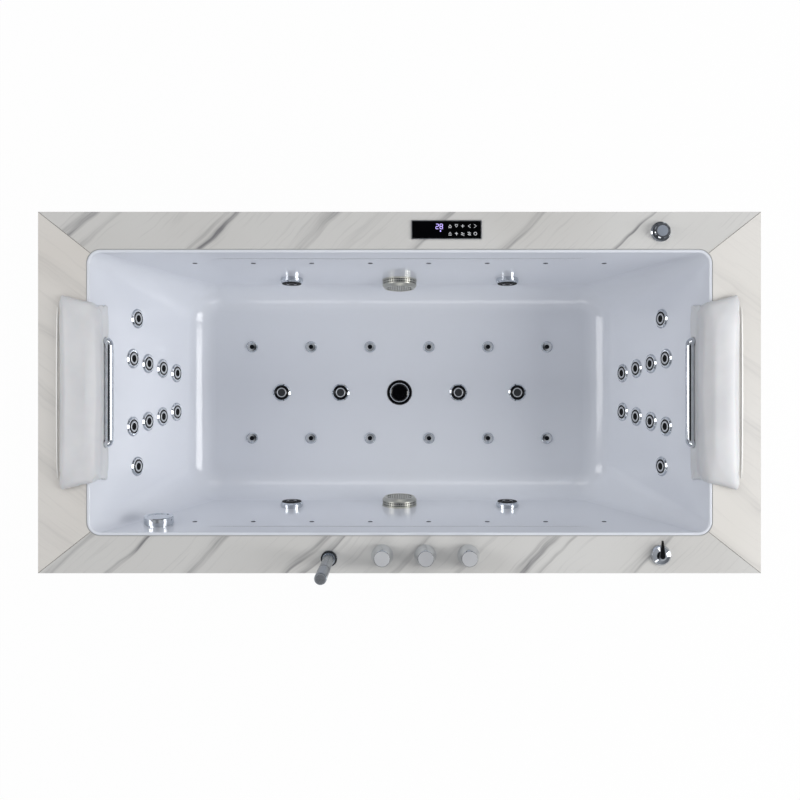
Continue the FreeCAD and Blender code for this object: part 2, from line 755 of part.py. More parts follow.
# ---------------------------------------------------------------------------
# Steel frame: rails, posts, brackets, pads, feet
# ---------------------------------------------------------------------------
rail_mid = rail_low + mm.rail / 2
rail_top = rail_low + mm.rail
tubes = [square_tube(f"long_rail_{name}", (-rail_x - mm.rail / 2, y, rail_mid), 0,
                                 rail_x * 2 + mm.rail)
         for name, y in (("front", -rail_y), ("back", rail_y))]
between = rail_y * 2 - mm.rail
tubes += [square_tube(f"end_rail_{name}", (x, -rail_y + mm.rail / 2, rail_mid), 1, between)
          for name, x in (("left", -rail_x), ("right", rail_x))]
cross_places = [sign * place for place in (mm.cross_rail_inner, mm.cross_rail_middle, cross_rail_outer)
                for sign in SIDES]
tubes += [square_tube(f"cross_rail_{number}", (x, -rail_y + mm.rail / 2, rail_mid), 1, between)
          for number, x in enumerate(cross_places, start=1)]
flange_low = board_low - mm.flange_thickness
bracket_low = flange_low - mm.bracket_thickness
post_places = [(sign_x * x, sign_y * rail_y) for x in (rail_x, mm.middle_post)
               for sign_x in SIDES for sign_y in SIDES]
tubes += [square_tube(f"post_{number}", (x, y, rail_top), 2, bracket_low - rail_top)
          for number, (x, y) in enumerate(post_places, start=1)]
group("frame_tubes", tubes)
brackets = []
bracket_in = opening_y + mm.flange_reach / 2
bracket_reach = rail_y + mm.rail / 2 - bracket_in
for number, (x, y) in enumerate(post_places, start=1):
    near_y = bracket_in if float(y) > 0 else -bracket_in - bracket_reach
    if abs(float(x)) > float(mm.middle_post) + 1:
        wide = rail_x + mm.rail / 2 - opening_x - mm.flange_reach / 2
        near_x = opening_x + mm.flange_reach / 2 if float(x) > 0 else -rail_x - mm.rail / 2
        near_y = y - mm.rail / 2
        brackets.append(block(f"bracket_{number}", (near_x, near_y, bracket_low),
                              (wide, mm.rail, mm.bracket_thickness)))
    else:
        brackets.append(block(f"bracket_{number}", (x - mm.rail / 2, near_y, bracket_low),
                              (mm.rail, bracket_reach, mm.bracket_thickness)))
pads = [block(f"pad_{number}", (x - mm.rail / 2, y - mm.pad_length / 2, rail_top),
              (mm.rail, mm.pad_length, floor_under - rail_top))
        for number, (x, y) in enumerate(
            [(sign * x, side * mm.pad_offset) for x in (mm.cross_rail_inner, mm.cross_rail_middle)
             for sign in SIDES for side in SIDES], start=1)]
tray_in = cross_rail_outer - mm.rail / 2
clips = []
for side in SIDES:
    for place in (-2, -1, 1, 2):
        low_y = inner_y - clip_depth if side > 0 else -inner_y
        clips.append(block(f"long_clip_{side + 1}_{place + 2}",
                           (rail_x / 3 * place - mm.rail / 2, low_y, rail_low),
                           (mm.rail, clip_depth, mm.rail)))
    for place in SIDES:
        low_x = inner_x - clip_depth if side > 0 else -inner_x
        clips.append(block(f"end_clip_{side + 1}_{place + 1}",
                           (low_x, rail_y / 2 * place - mm.rail / 2, rail_low),
                           (clip_depth, mm.rail, mm.rail)))
trays = [block(f"tray_{name}", (low_x, -mm.tray_front, rail_top),
               (rail_x + mm.rail / 2 - tray_in, mm.tray_front + back, mm.tray_thickness))
         for name, low_x, back in (("left", -rail_x - mm.rail / 2, mm.tray_back_left),
                                   ("right", tray_in, mm.tray_back_right))]
group("frame_fittings", brackets + pads + clips + trays)

foot = turned("foot_master", [
    (0, 0), (mm.foot_radius, 0), (mm.foot_radius, mm.foot_height * 0.4),
    (mm.stud_radius * 1.5, mm.foot_height), (mm.stud_radius, mm.foot_height),
    (mm.stud_radius, rail_low), (0, rail_low)])
nut = plate("lock_nut_master", [
    (mm.nut_radius * math.cos(math.radians(60 * corner)), mm.nut_radius * math.sin(math.radians(60 * corner)))
    for corner in range(6)], mm.nut_height, holes=[(0, 0, mm.stud_radius + mm.running_gap)])
foot_set = placed(foot, [at(x, y, 0) for x, y in post_places])
foot_set += placed(nut, [at(x, y, rail_low - mm.nut_height) for x, y in post_places])
shape_node("levelling_feet", Part.makeCompound(foot_set))

# ---------------------------------------------------------------------------
# Small jets: twenty in the end walls, four hydro jets in the floor
# ---------------------------------------------------------------------------
recess = mm.end_jet_ring + mm.seam      # the flange's recess for the black ring
sill = mm.end_jet_flange * 0.25         # floor of that recess
collar_edge = mm.end_jet_flange * 0.4   # where the flange's bevel starts


def small_jet_profile(flange_radius, shank_radius, barb_start, back_end):
    """Flange with a recess, shank through the wall, and a thinner tail."""
    return [(0, sill), (recess, sill), (recess, mm.end_jet_flange),
            (recess + 2.5, mm.end_jet_flange), (flange_radius, collar_edge), (flange_radius, 0),
            (shank_radius, 0), (shank_radius, -barb_start), (shank_radius * 0.65, -barb_start),
            (shank_radius * 0.65, -back_end), (0, -back_end)]


end_jet = turned("end_jet_master", small_jet_profile(
    mm.end_jet_radius, mm.end_jet_shank, mm.end_jet_reach - 10, mm.end_jet_reach))
small_jet_bodies = placed(end_jet, [spot.placement() for spot in end_jet_spots])

jet_nut = turned("jet_nut_master", [
    (mm.end_jet_shank + mm.seam, -mm.wall - 7), (mm.end_jet_shank + 7, -mm.wall - 7),
    (mm.end_jet_shank + 7, -mm.wall), (mm.end_jet_shank + mm.seam, -mm.wall)])
backing_nuts = placed(jet_nut, [spot.placement() for spot in end_jet_spots])

groove_floor = mm.end_jet_flange * 0.45
ring_inner = mm.end_jet_nozzle + mm.seam
eye = mm.end_jet_eye - mm.seam
insert = turned("jet_insert_master", [
    (0, sill), (mm.end_jet_ring, sill), (mm.end_jet_ring, mm.end_jet_flange * 0.65),
    (mm.end_jet_ring - 1.5, mm.end_jet_flange * 0.85), (ring_inner + 1.2, mm.end_jet_flange * 0.85),
    (ring_inner, mm.end_jet_flange * 0.7), (ring_inner, groove_floor), (eye, groove_floor),
    (eye, mm.end_jet_flange * 0.75), (0, mm.end_jet_flange * 0.9)])
small_jet_spots = end_jet_spots + floor_jet_spots
copies("jet_inserts", insert, [spot.placement() for spot in small_jet_spots])

nozzle = turned("jet_nozzle_master", [
    (mm.end_jet_eye, groove_floor), (mm.end_jet_nozzle, groove_floor),
    (mm.end_jet_nozzle, mm.end_jet_flange * 0.8), (mm.end_jet_nozzle - 1.5, mm.end_jet_flange * 1.1),
    (mm.end_jet_eye + 1.5, mm.end_jet_flange * 1.1), (mm.end_jet_eye, mm.end_jet_flange * 0.8)])
copies("jet_nozzles", nozzle, [spot.placement() for spot in small_jet_spots])

# ---------------------------------------------------------------------------
# Manifolds behind the end walls: two slanting tubes each, a cross tube and ports
# ---------------------------------------------------------------------------
tee_reach = mm.pipe_radius + 8          # a pipe fitting's arm, from its centre


def behind_end_wall(side, y, depth, offset):
    return end_wall(side, y, depth).behind(offset)


def slant_y(depth):
    """How far from the middle line a slanting row of jets is at a depth."""
    steps = (float(depth) - float(end_jet_first_depth)) / float(mm.end_jet_step_depth)
    return float(mm.end_jet_first_y) - steps * float(mm.end_jet_step_y)


def end_manifold(side):
    offset = float(mm.manifold_offset)
    margin = float(mm.manifold_radius) + 4
    last = float(end_jet_first_depth) + 3 * float(mm.end_jet_step_depth)
    first = float(end_jet_first_depth)
    feed = float(mm.overall_height - ring_height) - offset * math.sin(end_angle)
    feed_point = behind_end_wall(side, 0, feed, offset)
    feed_end = Vector(side * float(wedge_x - tee_reach), 0, feed_point.z)
    cross = (behind_end_wall(side, -slant_y(feed), feed, offset),
             behind_end_wall(side, slant_y(feed), feed, offset))
    wide = float(mm.manifold_cross)
    narrow = float(mm.manifold_radius)
    tubes = [(*cross, wide), (feed_point, feed_end, (wide + narrow) / 2)]
    for half in SIDES:
        top = behind_end_wall(side, half * slant_y(first - margin), first - margin, offset)
        foot_end = behind_end_wall(side, half * slant_y(last + margin), last + margin, offset)
        shoulder = behind_end_wall(side, half * slant_y(first), first, offset)
        outer_y = half * float(mm.end_jet_outer_y)
        outer = behind_end_wall(side, outer_y + half * margin, end_jet_outer_depth, offset)
        tubes += [(top, foot_end, narrow), (shoulder, outer, narrow * 0.85)]
    outside = [rod(start, end, radius) for start, end, radius in tubes]
    inside = [rod(*cross, mm.manifold_bore), rod(feed_point, feed_end, mm.manifold_bore * 0.9)]
    for spot in end_jet_spots:
        if spot.point.x * side > 0:
            port_start = spot.behind(offset)
            outside.append(rod(port_start, spot.behind(mm.end_jet_reach), mm.end_jet_shank * 0.65))
    solid = outside[0]
    for tube in outside[1:]:
        solid = solid.fuse(tube)
    return solid.cut(inside)


left_manifold = end_manifold(-1)
right_manifold = left_manifold.mirror(Vector(0, 0, 0), Vector(1, 0, 0))
shape_node("end_manifolds", Part.makeCompound([left_manifold, right_manifold]))

# ---------------------------------------------------------------------------
# Side jets: body with socket and port, turning ring, tilting ball
# ---------------------------------------------------------------------------
side_flange = mm.side_jet_proud * 0.2
ball_centre = float(side_flange)
ball = float(mm.side_jet_ball)
socket_radius = mm.side_jet_ball + 1
throat = mm.side_jet_ball / 2
body_profile = turned("side_jet_master", [
    (mm.side_jet_radius - 1.5, 0), (mm.side_jet_radius - 1.5, side_flange),
    (socket_radius, side_flange), (socket_radius, -mm.side_jet_ball * 0.7),
    (throat, -mm.side_jet_ball * 1.2), (throat, -mm.side_jet_reach + 12),
    (0, -mm.side_jet_reach + 12), (0, -mm.side_jet_reach), (mm.side_jet_shank, -mm.side_jet_reach),
    (mm.side_jet_shank, 0)])
doc.recompute()


def on_axis(spot, row):
    """The point of a fitting's axis at a distance from the middle line."""
    travel = (abs(spot.point.y) - float(row)) / abs(spot.inward.y)
    return spot.point + spot.inward * travel


def with_port(spot, solid, row, port_end, radius, bore):
    """Add a vertical port to a body behind a long wall."""
    start = on_axis(spot, row)
    end = Vector(start.x, start.y, float(port_end))
    solid = solid.fuse(rod(start, end, radius))
    return solid.cut(rod(start, end, bore))


side_jet_bodies = []
for spot in side_jet_spots:
    solid = body_profile.Shape.copy().transformed(spot.placement().toMatrix(), True)
    side_jet_bodies.append(with_port(spot, solid, ring_row, ring_height - tee_reach,
                                     mm.pipe_radius * 0.75, mm.pipe_radius * 0.5))
shape_node("side_jet_bodies", Part.makeCompound(side_jet_bodies))

side_nut = turned("side_nut_master", [
    (mm.side_jet_shank + mm.seam, -mm.wall - 10), (mm.side_jet_shank + 9, -mm.wall - 10),
    (mm.side_jet_shank + 9, -mm.wall), (mm.side_jet_shank + mm.seam, -mm.wall)])
backing_nuts += placed(side_nut, [spot.placement() for spot in side_jet_spots + [overflow_spot]])

ring_low = side_flange + mm.seam
mouth_radius = mm.side_jet_ball * 0.86
side_ring = turned("side_ring_master", [
    (mm.side_jet_ball + 0.5, ring_low), (mm.side_jet_radius, ring_low),
    (mm.side_jet_radius, mm.side_jet_proud * 0.72), (mm.side_jet_radius - 4, mm.side_jet_proud),
    (mouth_radius, mm.side_jet_proud), (mm.side_jet_ball + 0.5, mm.side_jet_proud * 0.4)])
doc.recompute()


def grips(solid, count, orbit, radius, low, high):
    """Cut evenly spaced finger grips round a turned piece."""
    tools = []
    for step in range(count):
        angle = 2 * math.pi * step / count
        spot = Vector(orbit * math.cos(angle), orbit * math.sin(angle), low)
        tools.append(Part.makeCylinder(radius, high - low, spot))
    return solid.cut(tools)


ring_shape = grips(side_ring.Shape.copy(), 12, float(mm.side_jet_radius) + 2.0, 3.2,
                   float(mm.side_jet_proud) * 0.72, float(mm.side_jet_proud) + 1)


def nozzle_ball():
    """A ball with flat front and back and a jet hole."""
    centre = Vector(0, 0, ball_centre)
    front = ball * 0.75
    back = ball * 0.7
    slab = Part.makeCylinder(ball, front + back, Vector(0, 0, ball_centre - back))
    hole = Part.makeCylinder(ball * 0.4, front + back + 2, Vector(0, 0, ball_centre - back - 1))
    return Part.makeSphere(ball, centre).common(slab).cut(hole)


JET_NAMES = ["front_left", "front_right", "back_left", "back_right"]
for name, spot in zip(JET_NAMES, side_jet_spots):
    shape_node(f"jet_ring_{name}", ring_shape.transformed(spot.placement().toMatrix(), True))
for name, spot in zip(JET_NAMES, side_jet_spots):
    shape_node(f"jet_ball_{name}", nozzle_ball().transformed(spot.placement().toMatrix(), True))

# ---------------------------------------------------------------------------
# Suctions, wall lights
# ---------------------------------------------------------------------------
elbow_reach = mm.suction_pipe + 6
suction_flange = mm.suction_proud * 0.13
cover_wall = mm.suction_proud * 0.11
suction_master = turned("suction_master", [
    (0, mm.suction_proud - cover_wall), (5, mm.suction_proud - cover_wall), (5, suction_flange),
    (mm.suction_radius - 7, suction_flange), (mm.suction_radius - 7, 0), (mm.suction_shank, 0),
    (mm.suction_shank, -mm.suction_reach), (0, -mm.suction_reach)])
doc.recompute()
shape_node("suction_bodies", Part.makeCompound([
    with_port(spot, suction_master.Shape.copy().transformed(spot.placement().toMatrix(), True),
              suction_row, equipment_axis + elbow_reach, mm.suction_pipe,
              mm.suction_pipe - mm.pipe_wall) for spot in suction_spots]))

cover_master = turned("suction_cover_master", [
    (0, mm.suction_proud - cover_wall), (mm.suction_radius - 8, mm.suction_proud - cover_wall),
    (mm.suction_radius - cover_wall, mm.suction_proud * 0.7), (mm.suction_radius - cover_wall, mm.seam),
    (mm.suction_radius, mm.seam), (mm.suction_radius, mm.suction_proud * 0.72),
    (mm.suction_radius - 7, mm.suction_proud), (0, mm.suction_proud)])
doc.recompute()
perforations = []
for ring in range(1, 4):
    orbit = (float(mm.suction_radius) - 8) * (ring + 0.3) / 4
    for step in range(7 * ring):
        angle = 2 * math.pi * step / (7 * ring)
        spot = Vector(orbit * math.cos(angle), orbit * math.sin(angle), float(mm.suction_proud) * 0.8)
        perforations.append(Part.makeCylinder(2.2, float(mm.suction_proud), spot))
cover_shape = cover_master.Shape.copy().cut(perforations)
shape_node("suction_covers", Part.makeCompound(
    [cover_shape.transformed(spot.placement().toMatrix(), True) for spot in suction_spots]))

light_sill = mm.light_radius * 0.15
light_body = turned("light_body_master", [
    (0, -mm.light_reach), (mm.light_radius, -mm.light_reach), (mm.light_radius, -light_sill),
    (0, -light_sill)])
light_lens = turned("light_lens_master", [
    (0, -light_sill), (mm.light_radius, -light_sill), (mm.light_radius, light_sill * 0.5),
    (mm.light_radius * 0.75, light_sill * 1.4), (0, light_sill * 1.8)])
copies("wall_light_bodies", light_body, [spot.placement() for spot in light_spots])
copies("wall_light_lenses", light_lens, [spot.placement() for spot in light_spots])

# ---------------------------------------------------------------------------
# Floor: air jets, hydro jet bodies, drain and plug
# ---------------------------------------------------------------------------
air_port_top = middle_layer + mm.air_pipe + mm.port_gap
air_jet_flange = mm.air_jet_proud * 0.3
air_jet_rim = mm.air_jet_radius - 2
air_body = turned("air_jet_master", [
    (0, air_jet_flange), (air_jet_rim - mm.seam, air_jet_flange), (air_jet_rim - mm.seam, 0),
    (mm.air_jet_shank, 0), (mm.air_jet_shank, air_port_top - floor_z), (0, air_port_top - floor_z)])
air_cap = turned("air_cap_master", [
    (0, air_jet_flange + mm.seam), (air_jet_rim, air_jet_flange + mm.seam), (air_jet_rim, mm.seam),
    (mm.air_jet_radius, mm.seam), (mm.air_jet_radius, mm.air_jet_proud * 0.35),
    (mm.air_jet_radius * 0.8, mm.air_jet_proud * 0.8), (mm.air_jet_radius * 0.4, mm.air_jet_proud),
    (0, mm.air_jet_proud)])
copies("air_jet_bodies", air_body, [spot.placement() for spot in air_jet_spots])
copies("air_jet_caps", air_cap, [spot.placement() for spot in air_jet_spots])

floor_jet_low = middle_layer - mm.floor_jet_shank
floor_jet_master = turned("floor_jet_master", small_jet_profile(
    mm.floor_jet_radius, mm.floor_jet_shank, floor_z - floor_jet_low, floor_z - floor_jet_low + 1))
doc.recompute()
manifold_port_y = float(mm.floor_manifold_row - mm.pipe_radius - mm.port_gap)
for spot in floor_jet_spots:
    solid = floor_jet_master.Shape.copy().transformed(spot.placement().toMatrix(), True)
    arm_start = Vector(spot.point.x, 0, float(middle_layer))
    arm_end = Vector(spot.point.x, manifold_port_y, float(middle_layer))
    small_jet_bodies.append(solid.fuse(rod(arm_start, arm_end, mm.floor_jet_shank * 0.7)))
shape_node("small_jet_bodies", Part.makeCompound(small_jet_bodies))

drain_depth = mm.wall * 5
plug_seat = mm.wall * 0.75
drain_flange_master = turned("drain_flange_master", [
    (mm.drain_radius, 0), (mm.drain_radius, 1.5), (mm.drain_radius - 2.5, 3),
    (mm.drain_bore + 2.5, 3), (mm.drain_bore + 2.5, 1.2), (mm.drain_bore, 1.2),
    (mm.drain_bore, -plug_seat), (mm.drain_bore - 4, -plug_seat), (mm.drain_bore - 4, -plug_seat - 3),
    (mm.drain_bore, -plug_seat - 3), (mm.drain_bore, -drain_depth), (mm.drain_shank, -drain_depth),
    (mm.drain_shank, 0)])
doc.recompute()
stem = 4.0
bush_low = -float(drain_depth) + 1
bush_height = 8.0
bush = Part.makeCylinder(stem + 4, bush_height, Vector(0, 0, bush_low))
spokes = []
for step in range(3):
    spoke = Part.makeBox(float(mm.drain_bore) + 1, 3, bush_height, Vector(0, -1.5, bush_low))
    spoke.rotate(Vector(0, 0, 0), Vector(0, 0, 1), 120 * step)
    spokes.append(spoke)
stem_hole = Part.makeCylinder(stem + float(mm.running_gap), bush_height + 4, Vector(0, 0, bush_low - 2))
strainer = drain_flange_master.Shape.copy().fuse([bush] + spokes).cut(stem_hole)
on_floor = at(0, 0, floor_z).toMatrix()
shape_node("drain_flange", strainer.transformed(on_floor, True))
keep(turned("drain_trim_ring", [
    (mm.drain_bore + 0.1, 1.2), (mm.drain_bore + 2.2, 1.2), (mm.drain_bore + 2.2, 3.2),
    (mm.drain_bore + 1.4, 3.8), (mm.drain_bore + 0.1, 3.4)], at(0, 0, floor_z)))
plug_low = -plug_seat * 0.5
keep(turned("drain_plug", [
    (0, -drain_depth), (stem, -drain_depth), (stem, plug_low), (mm.plug_radius - 1, plug_low),
    (mm.plug_radius, 0), (mm.plug_radius, 3), (mm.plug_radius - 3, 4.2), (0, 5)], at(0, 0, floor_z)))
keep(turned("plug_seal", [
    (stem + mm.seam, -plug_seat + mm.seam), (mm.plug_radius - 1, -plug_seat + mm.seam),
    (mm.plug_radius - 1, plug_low), (stem + mm.seam, plug_low)], at(0, 0, floor_z)))
drain_nut = turned("drain_nut_master", [
    (mm.drain_shank + mm.seam, -mm.wall - 12), (mm.drain_shank + 10, -mm.wall - 12),
    (mm.drain_shank + 10, -mm.wall), (mm.drain_shank + mm.seam, -mm.wall)])
backing_nuts += placed(drain_nut, [at(0, 0, floor_z)])

# ---------------------------------------------------------------------------
# Overflow: body behind the wall and the turning knob that works the plug
# ---------------------------------------------------------------------------
overflow_sill = mm.overflow_proud * 0.16
bore = mm.spindle_radius + mm.running_gap
overflow_master = turned("overflow_master", [
    (bore, overflow_sill), (mm.overflow_radius - 4, overflow_sill), (mm.overflow_radius - 4, 0),
    (mm.side_jet_shank, 0), (mm.side_jet_shank, -mm.overflow_reach), (0, -mm.overflow_reach),
    (0, -mm.overflow_reach + 8), (bore, -mm.overflow_reach + 8)])
doc.recompute()
overflow_solid = overflow_master.Shape.copy().transformed(overflow_spot.placement().toMatrix(), True)
overflow_row = float(ring_row)
overflow_centre = on_axis(overflow_spot, overflow_row)
overflow_port = overflow_centre.z - float(mm.side_jet_shank) - 8
overflow_start = Vector(overflow_centre.x, overflow_centre.y,
                        overflow_centre.z - float(mm.side_jet_shank) * 0.7)
overflow_solid = overflow_solid.fuse(
    rod(overflow_start, Vector(overflow_centre.x, overflow_centre.y, overflow_port), mm.pipe_radius))
shape_node("overflow_body", overflow_solid)
overflow_spindle = mm.overflow_reach - 10
keep(turned("overflow_knob", [
    (0, -overflow_spindle), (mm.spindle_radius, -overflow_spindle),
    (mm.spindle_radius, overflow_sill + mm.seam), (mm.overflow_radius, overflow_sill + mm.seam),
    (mm.overflow_radius, mm.overflow_proud - 2), (mm.overflow_radius - 2, mm.overflow_proud),
    (mm.overflow_radius - 8, mm.overflow_proud), (mm.overflow_radius - 10, mm.overflow_proud - 1.5),
    (0, mm.overflow_proud - 1.5)], overflow_spot.placement()))

# ---------------------------------------------------------------------------
# Knobs and valves on the front and back boards
# ---------------------------------------------------------------------------
spindle_end = mm.board_thickness + 26


def deck_knob(label, profile, x, y):
    """A knob on the deck, with its spindle down into the valve."""
    with_spindle = profile + [(0, -spindle_end), (mm.spindle_radius, -spindle_end),
                              (mm.spindle_radius, mm.seam)]
    return keep(turned(label, with_spindle, at(x, y, mm.overall_height)))


tap_profile = [(mm.tap_radius, mm.seam), (mm.tap_radius, mm.tap_height * 0.2),
               (mm.tap_radius * 0.86, mm.tap_height * 0.62), (mm.tap_top_radius, mm.tap_height * 0.94),
               (mm.tap_top_radius - 1, mm.tap_height), (0, mm.tap_height)]
for number, label in enumerate(("knob_diverter", "knob_cold", "knob_hot")):
    deck_knob(label, tap_profile, tap_x(number), -tap_row)

regulator_foot = mm.regulator_height * 0.3
regulator_rim = mm.regulator_radius * 0.78
regulator_core = mm.regulator_radius * 0.36
regulator = turned("regulator_turned", [
    (regulator_rim, regulator_foot + mm.seam), (regulator_rim, mm.regulator_height * 0.86),
    (regulator_rim - 2, mm.regulator_height * 0.93), (regulator_core, mm.regulator_height * 0.93),
    (regulator_core, mm.regulator_height), (0, mm.regulator_height), (0, -spindle_end),
    (mm.spindle_radius, -spindle_end), (mm.spindle_radius, regulator_foot + mm.seam)])
doc.recompute()
lobes = grips(regulator.Shape.copy(), 8, float(regulator_rim) + 1.5, 4.5,
              float(regulator_foot), float(mm.regulator_height) + 1)
shape_node("regulator_knob", lobes.transformed(
    at(side_knob_x, regulator_row, mm.overall_height).toMatrix(), True))

deck_knob("lever_knob", [
    (mm.lever_radius, mm.seam), (mm.lever_radius, mm.lever_height * 0.25),
    (mm.lever_radius * 0.85, mm.lever_height * 0.6), (mm.lever_radius * 0.5, mm.lever_height * 0.92),
    (0, mm.lever_height)], side_knob_x, -tap_row)


def lever_handle():
    """A teardrop pointer lying on the dome."""
    wide = float(mm.lever_width)
    tip = wide * 0.3
    reach = float(mm.lever_length)
    low = float(mm.lever_height)
    root = Part.makeCylinder(wide, 7, Vector(0, 0, low))
    point = Part.makeCylinder(tip, 7, Vector(0, reach - tip, low))
    corners = [Vector(-wide, 0, low), Vector(wide, 0, low), Vector(tip, reach - tip, low),
               Vector(-tip, reach - tip, low), Vector(-wide, 0, low)]
    web = Part.Face(Part.makePolygon(corners)).extrude(Vector(0, 0, 7))
    handle = root.fuse([point, web]).removeSplitter()
    return handle.transformed(at(side_knob_x, -tap_row, mm.overall_height).toMatrix(), True)


shape_node("lever_handle", lever_handle())

# fixed collars on the deck: the hand shower's and the air regulator's
collar_height = mm.collar_radius * 0.7
shower_bore = mm.shower_radius + mm.seam * 2
sleeve_radius = shower_bore + 3
shower_collar = turned("shower_collar_master", [
    (shower_bore, 0), (mm.collar_radius, 0), (mm.collar_radius, collar_height - 2),
    (mm.collar_radius - 2, collar_height), (shower_bore, collar_height)])
regulator_collar = turned("regulator_collar_master", [
    (spindle_hole, 0), (mm.regulator_radius, 0), (mm.regulator_radius, regulator_foot * 0.6),
    (mm.regulator_radius - 3, regulator_foot), (spindle_hole, regulator_foot)])
sleeve = turned("shower_sleeve_master", [
    (shower_bore, -mm.board_thickness - 60), (sleeve_radius, -mm.board_thickness - 60),
    (sleeve_radius, -mm.board_thickness), (shower_bore, -mm.board_thickness)])
shower_spot = at(mm.shower_x, -shower_row, mm.overall_height)
shape_node("deck_collars", Part.makeCompound(
    placed(shower_collar, [shower_spot]) + placed(sleeve, [shower_spot])
    + placed(regulator_collar, [at(side_knob_x, regulator_row, mm.overall_height)])))

stick_shoulder = collar_height + mm.seam
keep(turned("hand_shower", [
    (0, -70), (mm.shower_radius * 0.6, -70), (mm.shower_radius * 0.6, -52), (mm.shower_radius, -46),
    (mm.shower_radius, stick_shoulder), (mm.shower_radius + 2.5, stick_shoulder),
    (mm.shower_radius + 2.5, stick_shoulder + 7), (mm.shower_radius, stick_shoulder + 10),
    (mm.shower_radius, mm.shower_height - 4), (mm.shower_radius - 3, mm.shower_height),
    (0, mm.shower_height)], shower_spot))

# valve bodies under the boards, joined by the mixing pipe
valve_top = float(board_low)
valve_length = float(board_low - valve_low)
valve_master = turned("valve_master", [
    (bore, 0), (mm.valve_radius, 0), (mm.valve_radius, -valve_length), (0, -valve_length),
    (0, -30), (bore, -30)])
short_valve = turned("short_valve_master", [
    (bore, 0), (mm.valve_radius, 0), (mm.valve_radius, -45), (0, -45), (0, -30), (bore, -30)])
doc.recompute()
mixing_z = valve_top - valve_length * 0.75
taps = [Vector(float(tap_x(number)), -float(tap_row), mixing_z) for number in range(3)]
valves = placed(valve_master, [at(spot.x, spot.y, valve_top) for spot in taps])
valve_block = valves[0].fuse(valves[1:] + [rod(taps[0], taps[2], mm.filler_pipe)])
inlet_low = float(valve_low - mm.inlet_length)
inlets = [rod(Vector(spot.x, spot.y, float(valve_low)), Vector(spot.x, spot.y, inlet_low),
              mm.inlet_radius) for spot in taps[1:]]
side_valves = placed(short_valve, [at(side_knob_x, row, valve_top) for row in (regulator_row, -tap_row)])
shape_node("valve_bodies", Part.makeCompound([valve_block.fuse(inlets).removeSplitter()] + side_valves))

# ---------------------------------------------------------------------------
# Touch panel
# ---------------------------------------------------------------------------
bezel = 2
glass_x = mm.display_length / 2 - bezel
glass_y = mm.display_width / 2 - bezel
panel_spot = (mm.display_x, tap_row)


def centred(half_x, half_y):
    """A rectangle about the touch panel's middle."""
    return rectangle(panel_spot[0] - half_x, panel_spot[1] - half_y,
                     panel_spot[0] + half_x, panel_spot[1] + half_y)


frame_ring = plate("panel_frame_plate", centred(mm.display_length / 2, mm.display_width / 2),
                   mm.display_proud, cutouts=[centred(glass_x, glass_y)],
                   placement=at(0, 0, mm.overall_height))
housing = plate("panel_box_plate", centred(housing_x, housing_y), mm.board_thickness + 20,
                placement=at(0, 0, board_low - 20))
group("panel_housing", [frame_ring, housing])
keep(plate("panel_glass", centred(glass_x - mm.seam, glass_y - mm.seam), mm.display_proud,
           placement=at(0, 0, mm.overall_height)))

# ---------------------------------------------------------------------------
# Chrome bars and head pillows
# ---------------------------------------------------------------------------


def tube_along(points, bend, radius, bore=0.0):
    """A round bar or tube along straight runs joined by tangent arcs."""
    edges = []
    start = points[0]
    for before, corner, after in zip(points, points[1:], points[2:]):
        back = (before - corner).normalize()
        ahead = (after - corner).normalize()
        half_turn = (math.pi - back.getAngle(ahead)) / 2
        room = 0.45 * min((before - corner).Length, (after - corner).Length)
        setback = min(bend * math.tan(half_turn), room)
        arc_radius = setback / math.tan(half_turn)
        arc_start = corner + back * setback
        arc_end = corner + ahead * setback
        to_centre = (back + ahead).normalize()
        middle = corner + to_centre * (arc_radius / math.cos(half_turn) - arc_radius)
        edges.append(Part.makeLine(start, arc_start))
        edges.append(Part.Arc(arc_start, middle, arc_end).toShape())
        start = arc_end
    edges.append(Part.makeLine(start, points[-1]))
    path = Part.Wire(edges)
    direction = points[1] - points[0]

    def swept(size):
        circle = Part.Wire(Part.makeCircle(float(size), points[0], direction))
        return path.makePipeShell([circle], True, False)

    tube = swept(radius)
    return tube.cut(swept(bore)) if bore else tube


def chrome_bar(side):
    """A U-shaped bar on two legs, with a threaded stud through the wall at each."""
    legs = [end_wall(side, half * bar_leg, mm.bar_drop) for half in SIDES]
    offset = float(mm.bar_offset)
    tops = [leg.point + leg.inward * offset for leg in legs]
    bar = tube_along([legs[0].point] + tops + [legs[1].point],
                     float(mm.bar_radius) * 1.06, mm.bar_radius)
    studs = [rod(leg.point + leg.inward * 2, leg.behind(mm.wall + 14), bar_stud_radius) for leg in legs]
    return bar.fuse(studs)


shape_node("chrome_bars", Part.makeCompound([chrome_bar(side) for side in SIDES]))
bar_nut = turned("bar_nut_master", [
    (bar_stud_radius + mm.seam, -mm.wall - 6), (bar_stud_radius + 6, -mm.wall - 6),
    (bar_stud_radius + 6, -mm.wall), (bar_stud_radius + mm.seam, -mm.wall)])
backing_nuts += placed(bar_nut, [spot.placement() for spot in bar_leg_spots])
shape_node("backing_nuts", Part.makeCompound(backing_nuts))


